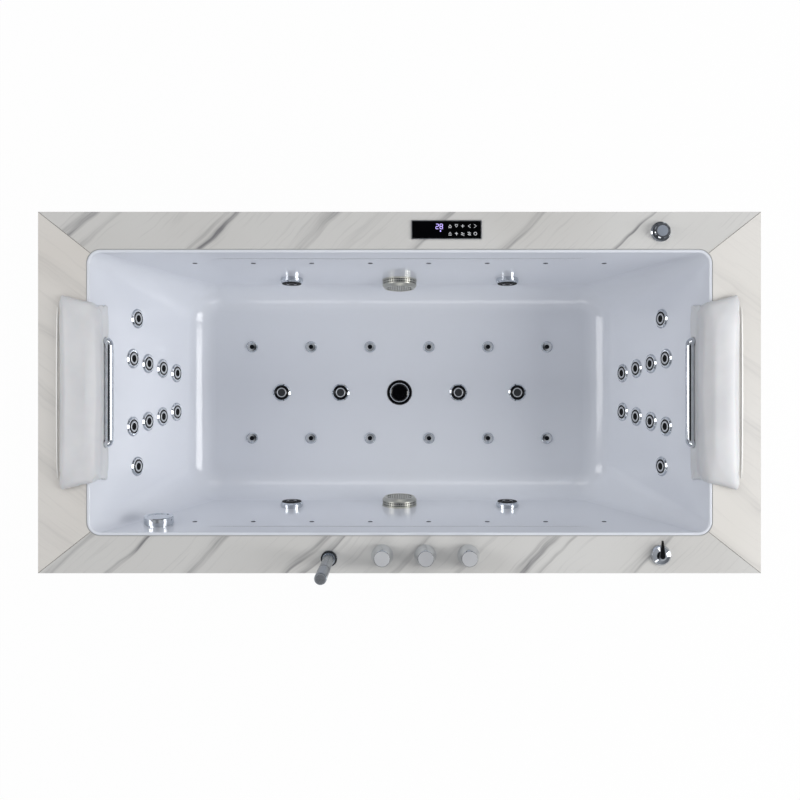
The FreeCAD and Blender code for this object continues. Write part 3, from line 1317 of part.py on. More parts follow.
def pillow_section(side, y, fullness):
    """The pillow's outline at y: flat on the deck and the wall, crowned over the rim."""
    gap = float(mm.seam)
    crown = float(mm.pillow_crown) * fullness
    thin = float(mm.pillow_thin) * fullness
    outer = float(opening_x + mm.pillow_reach) - (1 - fullness) * 8
    drop = float(mm.pillow_drop) - (1 - fullness) * 6

    def on_deck(x, height):
        return Vector(side * x, y, deck_top + gap + height)

    def on_wall(depth, height):
        spot = end_wall(side, y, depth)
        return spot.point + spot.inward * (gap + height)

    edge_low = on_deck(outer, 0)
    edge_top = on_deck(outer, thin * 0.6)
    crest = on_deck(float(opening_x) + 15, crown)
    low_top = on_wall(drop - 3, thin)
    waist_depth = float(mm.bar_drop - mm.bar_radius) - 3
    waist = on_wall(waist_depth, float(mm.bar_offset - mm.bar_radius) * 0.93 * fullness)
    low_end = on_wall(drop, 0)
    rim = on_deck(mouth_x - gap * 0.7, 0)
    shoulder = on_deck((outer + float(opening_x) + 15) / 2 + 4, crown * 0.86)
    outward = (Vector(0, 0, 1) + end_wall(side, y, 0).inward).normalize()
    chest = rim + outward * (crown * 0.85)
    return Part.Wire([
        Part.makeLine(edge_low, rim), Part.makeLine(rim, low_end), Part.makeLine(low_end, low_top),
        Part.makeLine(low_top, waist), Part.Arc(waist, chest, crest).toShape(), Part.Arc(crest, shoulder, edge_top).toShape(),
        Part.makeLine(edge_top, edge_low)])


def pillow(side):
    """A soft pad over the rim, thinning towards its two ends, open round the bar's legs."""
    half = float(mm.pillow_width) / 2
    stations = [(-1.0, 0.3), (-0.97, 0.58), (-0.9, 0.8), (-0.7, 0.95), (0.0, 1.0),
                (0.7, 0.95), (0.9, 0.8), (0.97, 0.58), (1.0, 0.3)]
    sections = [pillow_section(side, half * share, fullness) for share, fullness in stations]
    pad = Part.makeLoft(sections, True, True)
    legs = [end_wall(side, half_way * bar_leg, mm.bar_drop) for half_way in SIDES]
    reach = float(mm.bar_offset) * 2
    holes = [rod(leg.behind(2), leg.point + leg.inward * reach, float(mm.bar_radius + mm.seam * 2))
             for leg in legs]
    return pad.cut(holes)


shape_node("pillow_left", pillow(-1))
shape_node("pillow_right", pillow(1))

# ---------------------------------------------------------------------------
# Pump and blower: housings on the trays, rotors on their shafts
# ---------------------------------------------------------------------------
along_y = Rotation(Vector(0, 0, 1), Vector(0, 1, 0))
axis_z = float(equipment_axis)
tray_top = float(rail_top + mm.tray_thickness)
wedge = float(wedge_x)
shaft_bore = mm.shaft_radius + mm.running_gap
shell_gap = mm.wall * 0.75              # wall of the pump and blower chambers
chamber_gap = mm.wall                   # room between a rotor and its chamber


def machine_profile(radius, length, motor, motor_end, inlet):
    """A chamber with an inlet in front and a motor with a shaft bore behind."""
    return [(inlet, 0), (radius, 0), (radius, length), (motor, length), (motor, motor_end),
            (0, motor_end), (0, motor_end - 10), (shaft_bore, motor_end - 10),
            (shaft_bore, length - shell_gap), (radius - shell_gap, length - shell_gap),
            (radius - shell_gap, shell_gap), (inlet, shell_gap)]


def rotor(radius, length, shaft_end, blades):
    """A bladed wheel on its shaft, about the Z axis."""
    low = float(shell_gap + chamber_gap)
    high = float(length - shell_gap - chamber_gap)
    hub = Part.makeCylinder(float(mm.shaft_radius) * 2, high - low, Vector(0, 0, low))
    back = Part.makeCylinder(float(radius), 4, Vector(0, 0, high - 4))
    shaft = Part.makeCylinder(float(mm.shaft_radius), float(shaft_end) - low, Vector(0, 0, low))
    pieces = [back, shaft]
    for step in range(blades):
        blade = Part.makeBox(float(radius) - float(mm.shaft_radius) * 1.5, 3, high - low - 3,
                             Vector(float(mm.shaft_radius) * 1.5, -1.5, low))
        blade.rotate(Vector(0, 0, 0), Vector(0, 0, 1), 360 / blades * step)
        pieces.append(blade)
    return hub.fuse(pieces).removeSplitter()


pump_end = mm.volute_length + mm.motor_length
pump_master = turned("pump_master", machine_profile(
    mm.pump_radius, mm.volute_length, mm.motor_radius, pump_end, mm.suction_pipe - mm.pipe_wall))
doc.recompute()
inlet_length = suction_row - elbow_reach - mm.pump_front
inlet_spigot = rod(Vector(0, 0, -float(inlet_length)), Vector(0, 0, 0), mm.suction_pipe,
                   mm.suction_pipe - mm.pipe_wall)
pump_spot = at(wedge, -mm.pump_front, axis_z, along_y)
pump_solid = pump_master.Shape.copy().fuse(inlet_spigot).transformed(pump_spot.toMatrix(), True)
outlet_y = -float(mm.pump_front - mm.volute_length / 2)
outlet_top = float(ring_height - tee_reach)
chamber_top = axis_z + float(mm.pump_radius - shell_gap) - 3
outlet = rod(Vector(wedge, outlet_y, chamber_top), Vector(wedge, outlet_y, outlet_top), mm.pipe_radius)
outlet_bore = rod(Vector(wedge, outlet_y, chamber_top - 3), Vector(wedge, outlet_y, outlet_top),
                  mm.pipe_radius - mm.pipe_wall)


def saddle(x, low_y, high_y, half_width, height):
    """A block foot from the tray up into a housing."""
    return Part.makeBox(half_width * 2, high_y - low_y, height, Vector(x - half_width, low_y, tray_top))


motor_low_y = -float(mm.pump_front - mm.volute_length) + 15
motor_high_y = motor_low_y + float(mm.motor_length) - 40
motor_foot = saddle(wedge, motor_low_y, motor_high_y, float(mm.motor_radius) * 0.6,
                    axis_z - tray_top - float(mm.motor_radius) * 0.75)
pump_housing = pump_solid.fuse([outlet, motor_foot]).cut(outlet_bore)
shape_node("pump_housing", pump_housing)
impeller = rotor(mm.pump_radius - shell_gap - chamber_gap, mm.volute_length, pump_end - 11, 6)
shape_node("pump_impeller", impeller.transformed(pump_spot.toMatrix(), True))

blower_motor = mm.motor_radius * 0.8
blower_end = mm.blower_length + mm.motor_length * 0.6
blower_master = turned("blower_master", machine_profile(
    mm.blower_radius, mm.blower_length, blower_motor, blower_end, mm.suction_pipe))
doc.recompute()
blower_spot = at(-wedge, -mm.blower_front, axis_z, along_y)
blower_solid = blower_master.Shape.copy().transformed(blower_spot.toMatrix(), True)
spigot_y = -float(mm.blower_front - mm.blower_length / 2)
loop_x = -float(air_loop_x)
loop_up = axis_z + float(mm.blower_radius) + 20
spigot = rod(Vector(loop_x, spigot_y, axis_z + 30), Vector(loop_x, spigot_y, loop_up), mm.air_pipe)
spigot_bore = rod(Vector(loop_x, spigot_y, axis_z + 25), Vector(loop_x, spigot_y, loop_up),
                  mm.air_pipe - mm.pipe_wall)
blower_low_y = -float(mm.blower_front - mm.blower_length) + 15
blower_foot = saddle(-wedge, blower_low_y, blower_low_y + float(mm.motor_length) * 0.4,
                     float(blower_motor) * 0.6, axis_z - tray_top - float(blower_motor) * 0.75)
fan_radius = mm.blower_radius - shell_gap - chamber_gap
chamber = Part.makeCylinder(float(mm.blower_radius - shell_gap),
                            float(mm.blower_length - shell_gap * 2), Vector(0, 0, float(shell_gap)))
blower_chamber = chamber.transformed(blower_spot.toMatrix(), True)
blower_housing = blower_solid.fuse([spigot.cut(blower_chamber), blower_foot]).cut(spigot_bore)
shape_node("blower_housing", blower_housing)
fan = rotor(fan_radius, mm.blower_length, blower_end - 11, 12)
shape_node("blower_fan", fan.transformed(blower_spot.toMatrix(), True))

box_half = mm.pump_radius - 4
control = block("control_box_case", (wedge_x - box_half, mm.tray_back_right - mm.box_height * 1.25,
                                     tray_top), (box_half * 2, mm.box_height * 1.2, mm.box_height))
keep(control).Label = "control_box"

# ---------------------------------------------------------------------------
# Water pipes: straight tubes between elbows and tees, butted end to end
# ---------------------------------------------------------------------------


class Pipework:
    """Fittings at the nodes of a pipe run, and straight tubes between them."""

    def __init__(self, radius, reach):
        self.radius = float(radius)
        self.bore = float(radius) - float(mm.pipe_wall)
        self.reach = float(reach)
        self.solids = []

    def fitting(self, centre, directions):
        """An elbow or tee with an arm in each direction."""
        ends = [centre + direction * self.reach for direction in directions]
        shell = float(mm.pipe_wall)
        self.solids.append(branch(centre, ends, self.radius + shell * 0.7, self.bore))

    def tube(self, start, end):
        """A straight tube between two exact points."""
        self.solids.append(rod(start, end, self.radius, self.bore))

    def between(self, start, end):
        """A straight tube between two fittings' arms."""
        direction = (end - start).normalize()
        self.tube(start + direction * self.reach, end - direction * self.reach)


LEFT, RIGHT = Vector(-1, 0, 0), Vector(1, 0, 0)
FRONT, BACK = Vector(0, -1, 0), Vector(0, 1, 0)
DOWN, UP = Vector(0, 0, -1), Vector(0, 0, 1)

ring_z = float(ring_height)
ring_y = float(ring_row)
jet_x = float(mm.side_jet_x)
feed_x = float(mm.floor_feed_x)
layer = float(middle_layer)
manifold_y = float(mm.floor_manifold_row)
water = Pipework(mm.pipe_radius, tee_reach)
front_left = Vector(-jet_x, -ring_y, ring_z)
front_right = Vector(jet_x, -ring_y, ring_z)
corner_front = Vector(wedge, -ring_y, ring_z)
pump_tee = Vector(wedge, outlet_y, ring_z)
right_tee = Vector(wedge, 0, ring_z)
corner_back = Vector(wedge, ring_y, ring_z)
feed_tee = Vector(feed_x, ring_y, ring_z)
back_right = Vector(jet_x, ring_y, ring_z)
back_left = Vector(-jet_x, ring_y, ring_z)
corner_left = Vector(-wedge, ring_y, ring_z)
left_end = Vector(-wedge, 0, ring_z)
feed_low = Vector(feed_x, ring_y, layer)
feed_turn = Vector(feed_x, manifold_y, layer)
for centre, directions in (
        (front_left, (RIGHT, DOWN)), (front_right, (LEFT, RIGHT, DOWN)), (corner_front, (LEFT, BACK)),
        (pump_tee, (FRONT, BACK, DOWN)), (right_tee, (FRONT, BACK, LEFT)), (corner_back, (FRONT, LEFT)),
        (feed_tee, (RIGHT, LEFT, DOWN)), (back_right, (RIGHT, LEFT, DOWN)),
        (back_left, (RIGHT, LEFT, DOWN)), (corner_left, (RIGHT, FRONT)), (left_end, (BACK, RIGHT)),
        (feed_low, (UP, FRONT)), (feed_turn, (BACK, LEFT))):
    water.fitting(centre, directions)
for start, end in ((front_left, front_right), (front_right, corner_front), (corner_front, pump_tee),
                   (pump_tee, right_tee), (right_tee, corner_back), (corner_back, feed_tee),
                   (feed_tee, back_right), (back_right, back_left), (back_left, corner_left),
                   (corner_left, left_end), (feed_tee, feed_low), (feed_low, feed_turn)):
    water.between(start, end)


def ported_row(start, end, radius, places, port_radius, direction, port_end):
    """A capped pipe with a short port at each place."""
    pipe = rod(start, end, radius)
    ports = [rod(place, place + direction * port_end, port_radius) for place in places]
    return pipe.fuse(ports).removeSplitter()


manifold_ports = [Vector(spot.point.x, manifold_y, layer) for spot in floor_jet_spots]
manifold_end = min(place.x for place in manifold_ports) - float(mm.pipe_radius) * 1.5
floor_row = ported_row(feed_turn + LEFT * water.reach, Vector(manifold_end, manifold_y, layer),
                       mm.pipe_radius, manifold_ports, mm.floor_jet_shank * 0.7, FRONT,
                       manifold_y - manifold_port_y)
water.solids.append(floor_row)

# suction pipes: front and back suction meet at a tee in front and run to the pump
cross_x = float(mm.suction_cross_x)
row_y = float(suction_row)
low = float(mm.low_layer)
suction = Pipework(mm.suction_pipe, elbow_reach)
front_drop = Vector(0, -row_y, axis_z)
front_tee = Vector(cross_x, -row_y, axis_z)
pump_elbow = Vector(wedge, -row_y, axis_z)
back_drop = Vector(0, row_y, axis_z)
back_elbow = Vector(cross_x, row_y, axis_z)
cross_back = Vector(cross_x, row_y, low)
cross_front = Vector(cross_x, -row_y, low)
for centre, directions in (
        (front_drop, (UP, RIGHT)), (front_tee, (LEFT, RIGHT, DOWN)), (pump_elbow, (LEFT, BACK)),
        (back_drop, (UP, RIGHT)), (back_elbow, (LEFT, DOWN)), (cross_back, (UP, FRONT)),
        (cross_front, (BACK, UP))):
    suction.fitting(centre, directions)
for start, end in ((front_drop, front_tee), (front_tee, pump_elbow), (back_drop, back_elbow),
                   (back_elbow, cross_back), (cross_back, cross_front), (cross_front, front_tee)):
    suction.between(start, end)

# filler pipe from the diverter to the overflow body
pipe_line = float(mm.filler_pipe)
filler_z = mixing_z
filler_start = Vector(taps[0].x - float(mm.valve_radius) + 0.5, taps[0].y, filler_z)
overflow_side = Vector(overflow_centre.x + float(mm.side_jet_shank) - 0.5, overflow_centre.y,
                       overflow_centre.z)
bend_y = (float(rail_y - mm.rail / 2) + float(opening_y)) / -2
filler = tube_along([
    filler_start, filler_start + LEFT * 60, Vector(filler_start.x - 160, bend_y, filler_z - 4),
    Vector(overflow_side.x + 120, bend_y, overflow_side.z + 6), overflow_side + RIGHT * 50,
    overflow_side], 60, mm.filler_pipe)
water.solids.append(filler.cut([valves[0], overflow_solid]))
shape_node("water_pipes", Part.makeCompound(water.solids + suction.solids))

# ---------------------------------------------------------------------------
# Air pipes: loop from the blower, header and two rows under the floor
# ---------------------------------------------------------------------------
air = Pipework(mm.air_pipe, mm.air_pipe + 8)
loop_top = float(air_loop_top)
row = float(mm.air_jet_row)
loop_start = Vector(loop_x, spigot_y, loop_up)
loop_rise = Vector(loop_x, spigot_y, loop_top)
loop_fall = Vector(loop_x, row, loop_top)
loop_foot = Vector(loop_x, row, layer)
header_back = Vector(-float(mm.header_x), row, layer)
header_front = Vector(-float(mm.header_x), -row, layer)
for centre, directions in (
        (loop_rise, (DOWN, BACK)), (loop_fall, (FRONT, DOWN)), (loop_foot, (UP, RIGHT)),
        (header_back, (LEFT, RIGHT, FRONT)), (header_front, (BACK, RIGHT))):
    air.fitting(centre, directions)
air.tube(loop_start, loop_rise + DOWN * air.reach)
for start, end in ((loop_rise, loop_fall), (loop_fall, loop_foot), (loop_foot, header_back),
                   (header_back, header_front)):
    air.between(start, end)
row_end = float(mm.air_jet_pitch) * 2.5 + float(mm.air_pipe)
for side, header in ((1, header_back), (-1, header_front)):
    places = [Vector(spot.point.x, header.y, layer) for spot in air_jet_spots
              if spot.point.y * side > 0]
    air.solids.append(ported_row(header + RIGHT * air.reach, Vector(row_end, header.y, layer),
                                 mm.air_pipe, places, mm.air_jet_shank * 0.9, UP,
                                 float(air_port_top) - layer))
shape_node("air_pipes", Part.makeCompound(air.solids))

# ---------------------------------------------------------------------------
# Waste: trap, waste pipe, overflow pipe and the cable that lifts the plug
# ---------------------------------------------------------------------------
bowl_top = float(floor_z - drain_depth)
bowl_radius = float(mm.drain_shank) + 6
bowl = Part.makeCylinder(bowl_radius, bowl_top - 14, Vector(0, 0, 14))
bowl_hollow = Part.makeCylinder(bowl_radius - 3, bowl_top - 14 - 6, Vector(0, 0, 17))
bowl_mouth = Part.makeCylinder(float(mm.drain_bore), 30, Vector(0, 0, bowl_top - 20))
waste_port = Vector(0, bowl_radius + 12, low)
waste_stub = rod(Vector(0, bowl_radius - 4, low), waste_port, mm.waste_radius)
waste_bore = rod(Vector(0, 0, low), waste_port, mm.waste_radius - mm.pipe_wall)
over_port = Vector(-bowl_radius - 12, 0, low)
over_stub = rod(Vector(-bowl_radius + 4, 0, low), over_port, mm.pipe_radius)
over_bore = rod(Vector(0, 0, low), over_port, mm.pipe_radius - mm.pipe_wall)
cable_y = -float(mm.floor_jet_shank) - 10
cable_z = low + float(mm.waste_radius) + 4
cable_port = Vector(-bowl_radius - 6, cable_y, cable_z)
cable_boss = rod(Vector(-bowl_radius * 0.6, cable_y, cable_z), cable_port, mm.plug_cable * 2)
trap = bowl.fuse([waste_stub, over_stub, cable_boss]).cut([bowl_hollow, bowl_mouth, waste_bore, over_bore])
coupling_end = float(waste_end - mm.waste_spigot)
coupling = rod(Vector(0, coupling_end - float(mm.waste_radius), low), Vector(0, coupling_end, low),
               mm.waste_radius + 4)
waste_tube = rod(waste_port, Vector(0, float(waste_end), low), mm.waste_radius).fuse(coupling)
waste_pipe = waste_tube.cut(rod(waste_port, Vector(0, float(waste_end), low),
                                mm.waste_radius - mm.pipe_wall))
overflow_run = Pipework(mm.pipe_radius, tee_reach)
run_x = overflow_centre.x
drop_top = Vector(run_x, overflow_centre.y, overflow_port)
drop_elbow = Vector(run_x, overflow_centre.y, low)
turn_elbow = Vector(run_x, 0, low)
overflow_run.fitting(drop_elbow, (UP, BACK))
overflow_run.fitting(turn_elbow, (FRONT, RIGHT))
overflow_run.tube(drop_top, drop_elbow + UP * overflow_run.reach)
overflow_run.between(drop_elbow, turn_elbow)
overflow_run.tube(turn_elbow + RIGHT * overflow_run.reach, over_port)
shape_node("waste_pipes", Part.makeCompound([trap, waste_pipe] + overflow_run.solids))

cable_out = overflow_centre + LEFT * (float(mm.side_jet_shank) - 0.5)
cable_x = cable_out.x - 47
cable = tube_along([
    cable_out, Vector(cable_x, cable_out.y, cable_out.z), Vector(cable_x, cable_out.y, cable_z),
    Vector(cable_x, cable_y, cable_z), cable_port], 60, mm.plug_cable)
shape_node("plug_cable", cable.cut(overflow_solid))

# ---------------------------------------------------------------------------
# Check every piece, then write one file for each
# ---------------------------------------------------------------------------
doc.recompute()
for thing in doc.Objects:
    if "Invalid" in thing.State or "Error" in thing.State:
        raise RuntimeError(f"{thing.Label} did not rebuild")
os.makedirs("parts", exist_ok=True)
for node in nodes:
    if node.Shape.isNull() or not node.Shape.isValid():
        raise RuntimeError(f"{node.Label} has no valid shape")
    node.Shape.exportStep(f"parts/{node.Label}.step")
print(len(nodes), "nodes,", sum(len(node.Shape.Solids) for node in nodes), "solids")
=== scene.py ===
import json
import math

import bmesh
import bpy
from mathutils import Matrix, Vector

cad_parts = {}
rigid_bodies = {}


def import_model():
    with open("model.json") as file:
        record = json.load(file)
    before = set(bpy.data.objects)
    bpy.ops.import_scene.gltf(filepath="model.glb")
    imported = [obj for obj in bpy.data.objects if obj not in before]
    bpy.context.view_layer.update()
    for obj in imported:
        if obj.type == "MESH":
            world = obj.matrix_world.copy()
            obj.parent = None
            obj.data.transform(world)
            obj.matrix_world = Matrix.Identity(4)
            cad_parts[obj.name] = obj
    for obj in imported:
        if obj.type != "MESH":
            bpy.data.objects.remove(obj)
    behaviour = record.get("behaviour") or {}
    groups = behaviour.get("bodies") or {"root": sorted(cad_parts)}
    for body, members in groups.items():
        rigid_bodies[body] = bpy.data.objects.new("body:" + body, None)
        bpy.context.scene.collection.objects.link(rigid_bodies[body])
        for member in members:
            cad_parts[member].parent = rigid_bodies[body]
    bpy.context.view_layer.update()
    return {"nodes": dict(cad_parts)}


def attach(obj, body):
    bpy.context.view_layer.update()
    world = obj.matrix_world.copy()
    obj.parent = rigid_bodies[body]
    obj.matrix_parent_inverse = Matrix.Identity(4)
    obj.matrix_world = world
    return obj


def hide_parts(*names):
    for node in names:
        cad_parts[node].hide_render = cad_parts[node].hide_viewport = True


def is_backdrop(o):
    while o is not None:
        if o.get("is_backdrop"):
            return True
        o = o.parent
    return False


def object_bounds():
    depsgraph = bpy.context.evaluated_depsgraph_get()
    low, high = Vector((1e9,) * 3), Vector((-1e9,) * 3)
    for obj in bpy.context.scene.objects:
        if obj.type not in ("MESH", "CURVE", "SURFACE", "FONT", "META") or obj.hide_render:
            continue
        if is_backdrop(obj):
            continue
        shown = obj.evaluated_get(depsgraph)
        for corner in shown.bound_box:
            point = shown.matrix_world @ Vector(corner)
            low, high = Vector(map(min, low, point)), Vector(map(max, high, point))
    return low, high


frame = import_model()

# %% [markdown]
# # A jetted bathtub, dressed for its picture
# The bathtub's working parts arrive as finished solids in true size, in metres,
# with the floor at Z = 0 and the deck's top at Z = 0.6. This lesson gives each of
# them the finish that the real material has, and models what a solid can't show:
# the two soft head pillows, the perforated suction covers, the touch panel's
# lights and the fine joints. Blender starts with a cube, a lamp and a camera of
# its own, so the first cell clears those away and keeps the solids.

solids = frame["nodes"]
for thing in list(bpy.data.objects):
    if thing.name in ("Cube", "Light", "Camera"):
        bpy.data.objects.remove(thing)
scene = bpy.context.scene

# %% [markdown]
# ## Real sizes
# Every number that two cells share is written once here, in metres. They are the
# bathtub's own sizes: the deck, the basin's mouth and the slope of its walls.
# A wall's slope is kept as a run, the distance it moves inward for each metre
# of depth, because most fittings are placed by their depth below the rim.

# %% The bathtub's main sizes
DECK_TOP = 0.600                        # above the ground
DECK_X, DECK_Y = 0.900, 0.450           # half the deck
OPENING_X, OPENING_Y = 0.780, 0.357     # half the hole in the deck
MOUTH_X, MOUTH_Y = 0.7717, 0.3487       # half the basin's mouth
FOOT_X, FOOT_Y = 0.594, 0.302           # half the basin's floor, where the walls would meet it
FLOOR_Z, DEPTH = 0.150, 0.450           # the basin's floor, above the ground and below the rim
TAP_ROW = 0.405                         # knobs and touch panel, from the middle line
END_RUN = (MOUTH_X - FOOT_X) / DEPTH
SIDE_RUN = (MOUTH_Y - FOOT_Y) / DEPTH
JETS = ("front_left", "front_right", "back_left", "back_right")
MM = 0.001
print("end wall leans", round(math.degrees(math.atan(END_RUN)), 1), "degrees")

# %% [markdown]
# ## Helpers for materials
# A picture's colour is written as sRGB hex, but Blender's nodes want linear
# values, so one function turns it. A second makes an empty material with one
# Principled BSDF, and a third adds any node, with its settings and its links, so
# that each finish below reads as a short list of what it is made of. The short
# ones after it make the nodes that come back most: a noise, a change of range, a
# sum, a vector sum and a blend.


# %% Colour, material and node helpers
def rgb(code):
    """An sRGB hex colour as the linear colour that Blender's nodes want."""
    parts = [int(code[start:start + 2], 16) / 255 for start in (1, 3, 5)]
    return tuple(c / 12.92 if c <= 0.04045 else ((c + 0.055) / 1.055) ** 2.4 for c in parts) + (1.0,)


def add(tree, kind, sockets=(), **settings):
    """Add a node. sockets maps an input's name or number to a value or to an output to link."""
    node = tree.nodes.new(kind)
    for name, value in settings.items():
        setattr(node, name, value)
    for name, value in dict(sockets).items():
        if isinstance(value, bpy.types.NodeSocket):
            tree.links.new(value, node.inputs[name])
        else:
            node.inputs[name].default_value = value
    return node


def new_finish(name, roughness, metallic=0.0, colour="#808080", **sockets):
    """A material with one Principled BSDF. Returns it with its tree, BSDF and Object coordinates."""
    material = bpy.data.materials.new(name)
    material.use_nodes = True
    tree = material.node_tree
    tree.nodes.clear()
    skin = add(tree, "ShaderNodeBsdfPrincipled",
               {"Roughness": roughness, "Metallic": metallic, "Base Color": rgb(colour), **sockets})
    add(tree, "ShaderNodeOutputMaterial", {"Surface": skin.outputs[0]})
    place = add(tree, "ShaderNodeTexCoord").outputs["Object"]
    return material, tree, skin, place


def ramp(tree, factor, stops):
    """A colour ramp through (position, hex colour) stops."""
    node = add(tree, "ShaderNodeValToRGB", {"Fac": factor})
    line = node.color_ramp.elements
    line[0].position, line[0].color = stops[0][0], rgb(stops[0][1])
    line[1].position, line[1].color = stops[-1][0], rgb(stops[-1][1])
    for position, colour in stops[1:-1]:
        line.new(position).color = rgb(colour)
    return node.outputs["Color"]


def bump(tree, skin, height, strength, distance):
    """Roughen a BSDF by a height, with the real depth of the relief in metres."""
    node = add(tree, "ShaderNodeBump", {"Height": height, "Strength": strength, "Distance": distance})
    tree.links.new(node.outputs[0], skin.inputs["Normal"])


def noise(tree, where, scale, detail=2.0, output="Fac", **sockets):
    """A noise texture's output."""
    inputs = {"Vector": where, "Scale": scale, "Detail": detail, **sockets}
    return add(tree, "ShaderNodeTexNoise", inputs).outputs[output]


def spread(tree, value, low, high, to_low, to_high, **settings):
    """A value moved from one range to another."""
    inputs = {0: value, 1: low, 2: high, 3: to_low, 4: to_high}
    return add(tree, "ShaderNodeMapRange", inputs, **settings).outputs[0]


def math_node(tree, operation, first, second=0.0):
    """One sum in a tree."""
    return add(tree, "ShaderNodeMath", {0: first, 1: second}, operation=operation).outputs[0]


def vector_node(tree, operation, first, second, output=0):
    """One sum with vectors."""
    return add(tree, "ShaderNodeVectorMath", {0: first, 1: second}, operation=operation).outputs[output]


def mix(tree, share, first, second):
    """A blend of two colours."""
    return add(tree, "ShaderNodeMix", {0: share, 6: first, 7: second}, data_type="RGBA").outputs[2]


def paint(tree, skin, colour, roughness=None):
    """Link a colour, and a roughness if there is one, to a BSDF."""
    tree.links.new(colour, skin.inputs["Base Color"])
    if roughness is not None:
        tree.links.new(roughness, skin.inputs["Roughness"])


def wear(*names, finish):
    """Put one finish on CAD solids."""
    for name in names:
        solids[name].data.materials.clear()
        solids[name].data.materials.append(finish)


print("helpers ready")

# %% [markdown]
# ## Sanitary acrylic
# The basin is one sheet of white cast acrylic, vacuum formed and polished. It is
# very glossy, and what gives it away is a faint orange-peel waviness that bends
# the reflections. Its back is sprayed with resin and chopped glass strands, which
# is rough and yellower, so the material picks between the two by which way a
# face points: the bathing side of every wall looks up, its back looks down.

# %% Basin finish
POLISHED, SPRAYED = 0.12, 0.62          # roughness of the bathing side and of the back
acrylic, tree, skin, place = new_finish("cast_acrylic_basin", POLISHED)
peel = noise(tree, place, 38.0)
bathing = ramp(tree, noise(tree, place, 1.7, 1.0), [(0.35, "#DEE1E8"), (0.65, "#E2E5EB")])
strands = add(tree, "ShaderNodeTexVoronoi", {"Vector": place, "Scale": 190.0, "Randomness": 1.0})
resin = ramp(tree, strands.outputs["Distance"], [(0.0, "#C9BF9C"), (0.6, "#DAD3B8"), (1.0, "#E6E1CC")])
facing = add(tree, "ShaderNodeSeparateXYZ", {0: add(tree, "ShaderNodeNewGeometry").outputs["Normal"]})
back = math_node(tree, "LESS_THAN", facing.outputs["Z"], -0.02)
paint(tree, skin, mix(tree, back, bathing, resin), spread(tree, back, 0.0, 1.0, POLISHED, SPRAYED))
bump(tree, skin, peel, 0.10, 0.4 * MM)
wear("basin_shell", finish=acrylic)
print("acrylic on", solids["basin_shell"].name)

# %% [markdown]
# ## Marble-look boards
# The deck and the skirts are boards with a printed marble face under clear
# lacquer. The print is warm off-white with soft grey veins that run in parallel
# diagonals, each crisp on one side and smoky on the other, and some break off
# half way. A noise alone gives random clouds, so the veins are laid one by one: each
# is a slow rise to its darkest line and a quick fall after it, measured across
# the board. Noise bends that measure a little, so that no vein is straight, and
# a stretched noise splits it into strands. A colour ramp would be shorter, but
# its steps are 8 mm wide here, and a vein's sharp side is half of that.


# %% Marble finish
def marble_board(name, across, veins, pale="#D6D5D2", shade="#CCCAC6", dark="#737275", strength=1.0):
    """Printed marble. across is the direction in which the veins' places are measured.

    veins lists (place in metres, sharp side width, smoky side width, darkness).
    """
    finish, tree, skin, place = new_finish(name, 0.2, **{"Coat Weight": 0.5, "Coat Roughness": 0.06})
    bend = noise(tree, place, 4.0, 3.0, "Color", Roughness=0.55)
    shift = vector_node(tree, "SUBTRACT", bend, (0.5, 0.5, 0.5))
    small = add(tree, "ShaderNodeVectorMath", {0: shift, "Scale": 0.05}, operation="SCALE")
    bent = vector_node(tree, "ADD", place, small.outputs[0])
    distance = vector_node(tree, "DOT_PRODUCT", bent, across, "Value")
    # strands about 4 mm wide and 150 mm long, which lie along the veins in the board's own plane
    first, second = [axis for axis in range(3) if across[axis]]
    along = [0.0, 0.0, 0.0]
    along[first], along[second] = -across[second], across[first]
    length = vector_node(tree, "DOT_PRODUCT", bent, along, "Value")
    laid = add(tree, "ShaderNodeCombineXYZ", {"X": length, "Y": distance})
    strands = noise(tree, vector_node(tree, "MULTIPLY", laid.outputs[0], (4.5, 95.0, 0.0)), 1.0, 4.0)
    vein = 0.0
    for spot, sharp, smoky, darkness in veins:
        smoke = spread(tree, distance, spot - smoky * 1.5, spot, 0.0, darkness,
                       interpolation_type="SMOOTHSTEP")
        crisp = spread(tree, distance, spot, spot + sharp, 1.0, 0.0)
        vein = add(tree, "ShaderNodeMath", {0: smoke, 1: crisp, 2: vein},
                   operation="MULTIPLY_ADD").outputs[0]
    # how strongly each vein shows along its length, and its strands
    show = spread(tree, noise(tree, place, 6.0), 0.36, 0.58, 0.5, 1.0)
    split = spread(tree, strands, 0.36, 0.60, 0.45, 1.15)
    veined = math_node(tree, "MULTIPLY", math_node(tree, "MULTIPLY", vein, show), split)
    thin = spread(tree, strands, 0.55, 0.8, 0.0, 0.2)
    total = add(tree, "ShaderNodeMath", {0: veined, 1: thin}, operation="ADD", use_clamp=True)
    cloud = noise(tree, place, 2.3)
    ground = ramp(tree, cloud, [(0.3, pale), (0.7, shade)])
    share = math_node(tree, "MULTIPLY", total.outputs[0], strength)
    paint(tree, skin, mix(tree, share, ground, rgb(dark)))
    bump(tree, skin, cloud, 0.05, 0.3 * MM)
    return finish


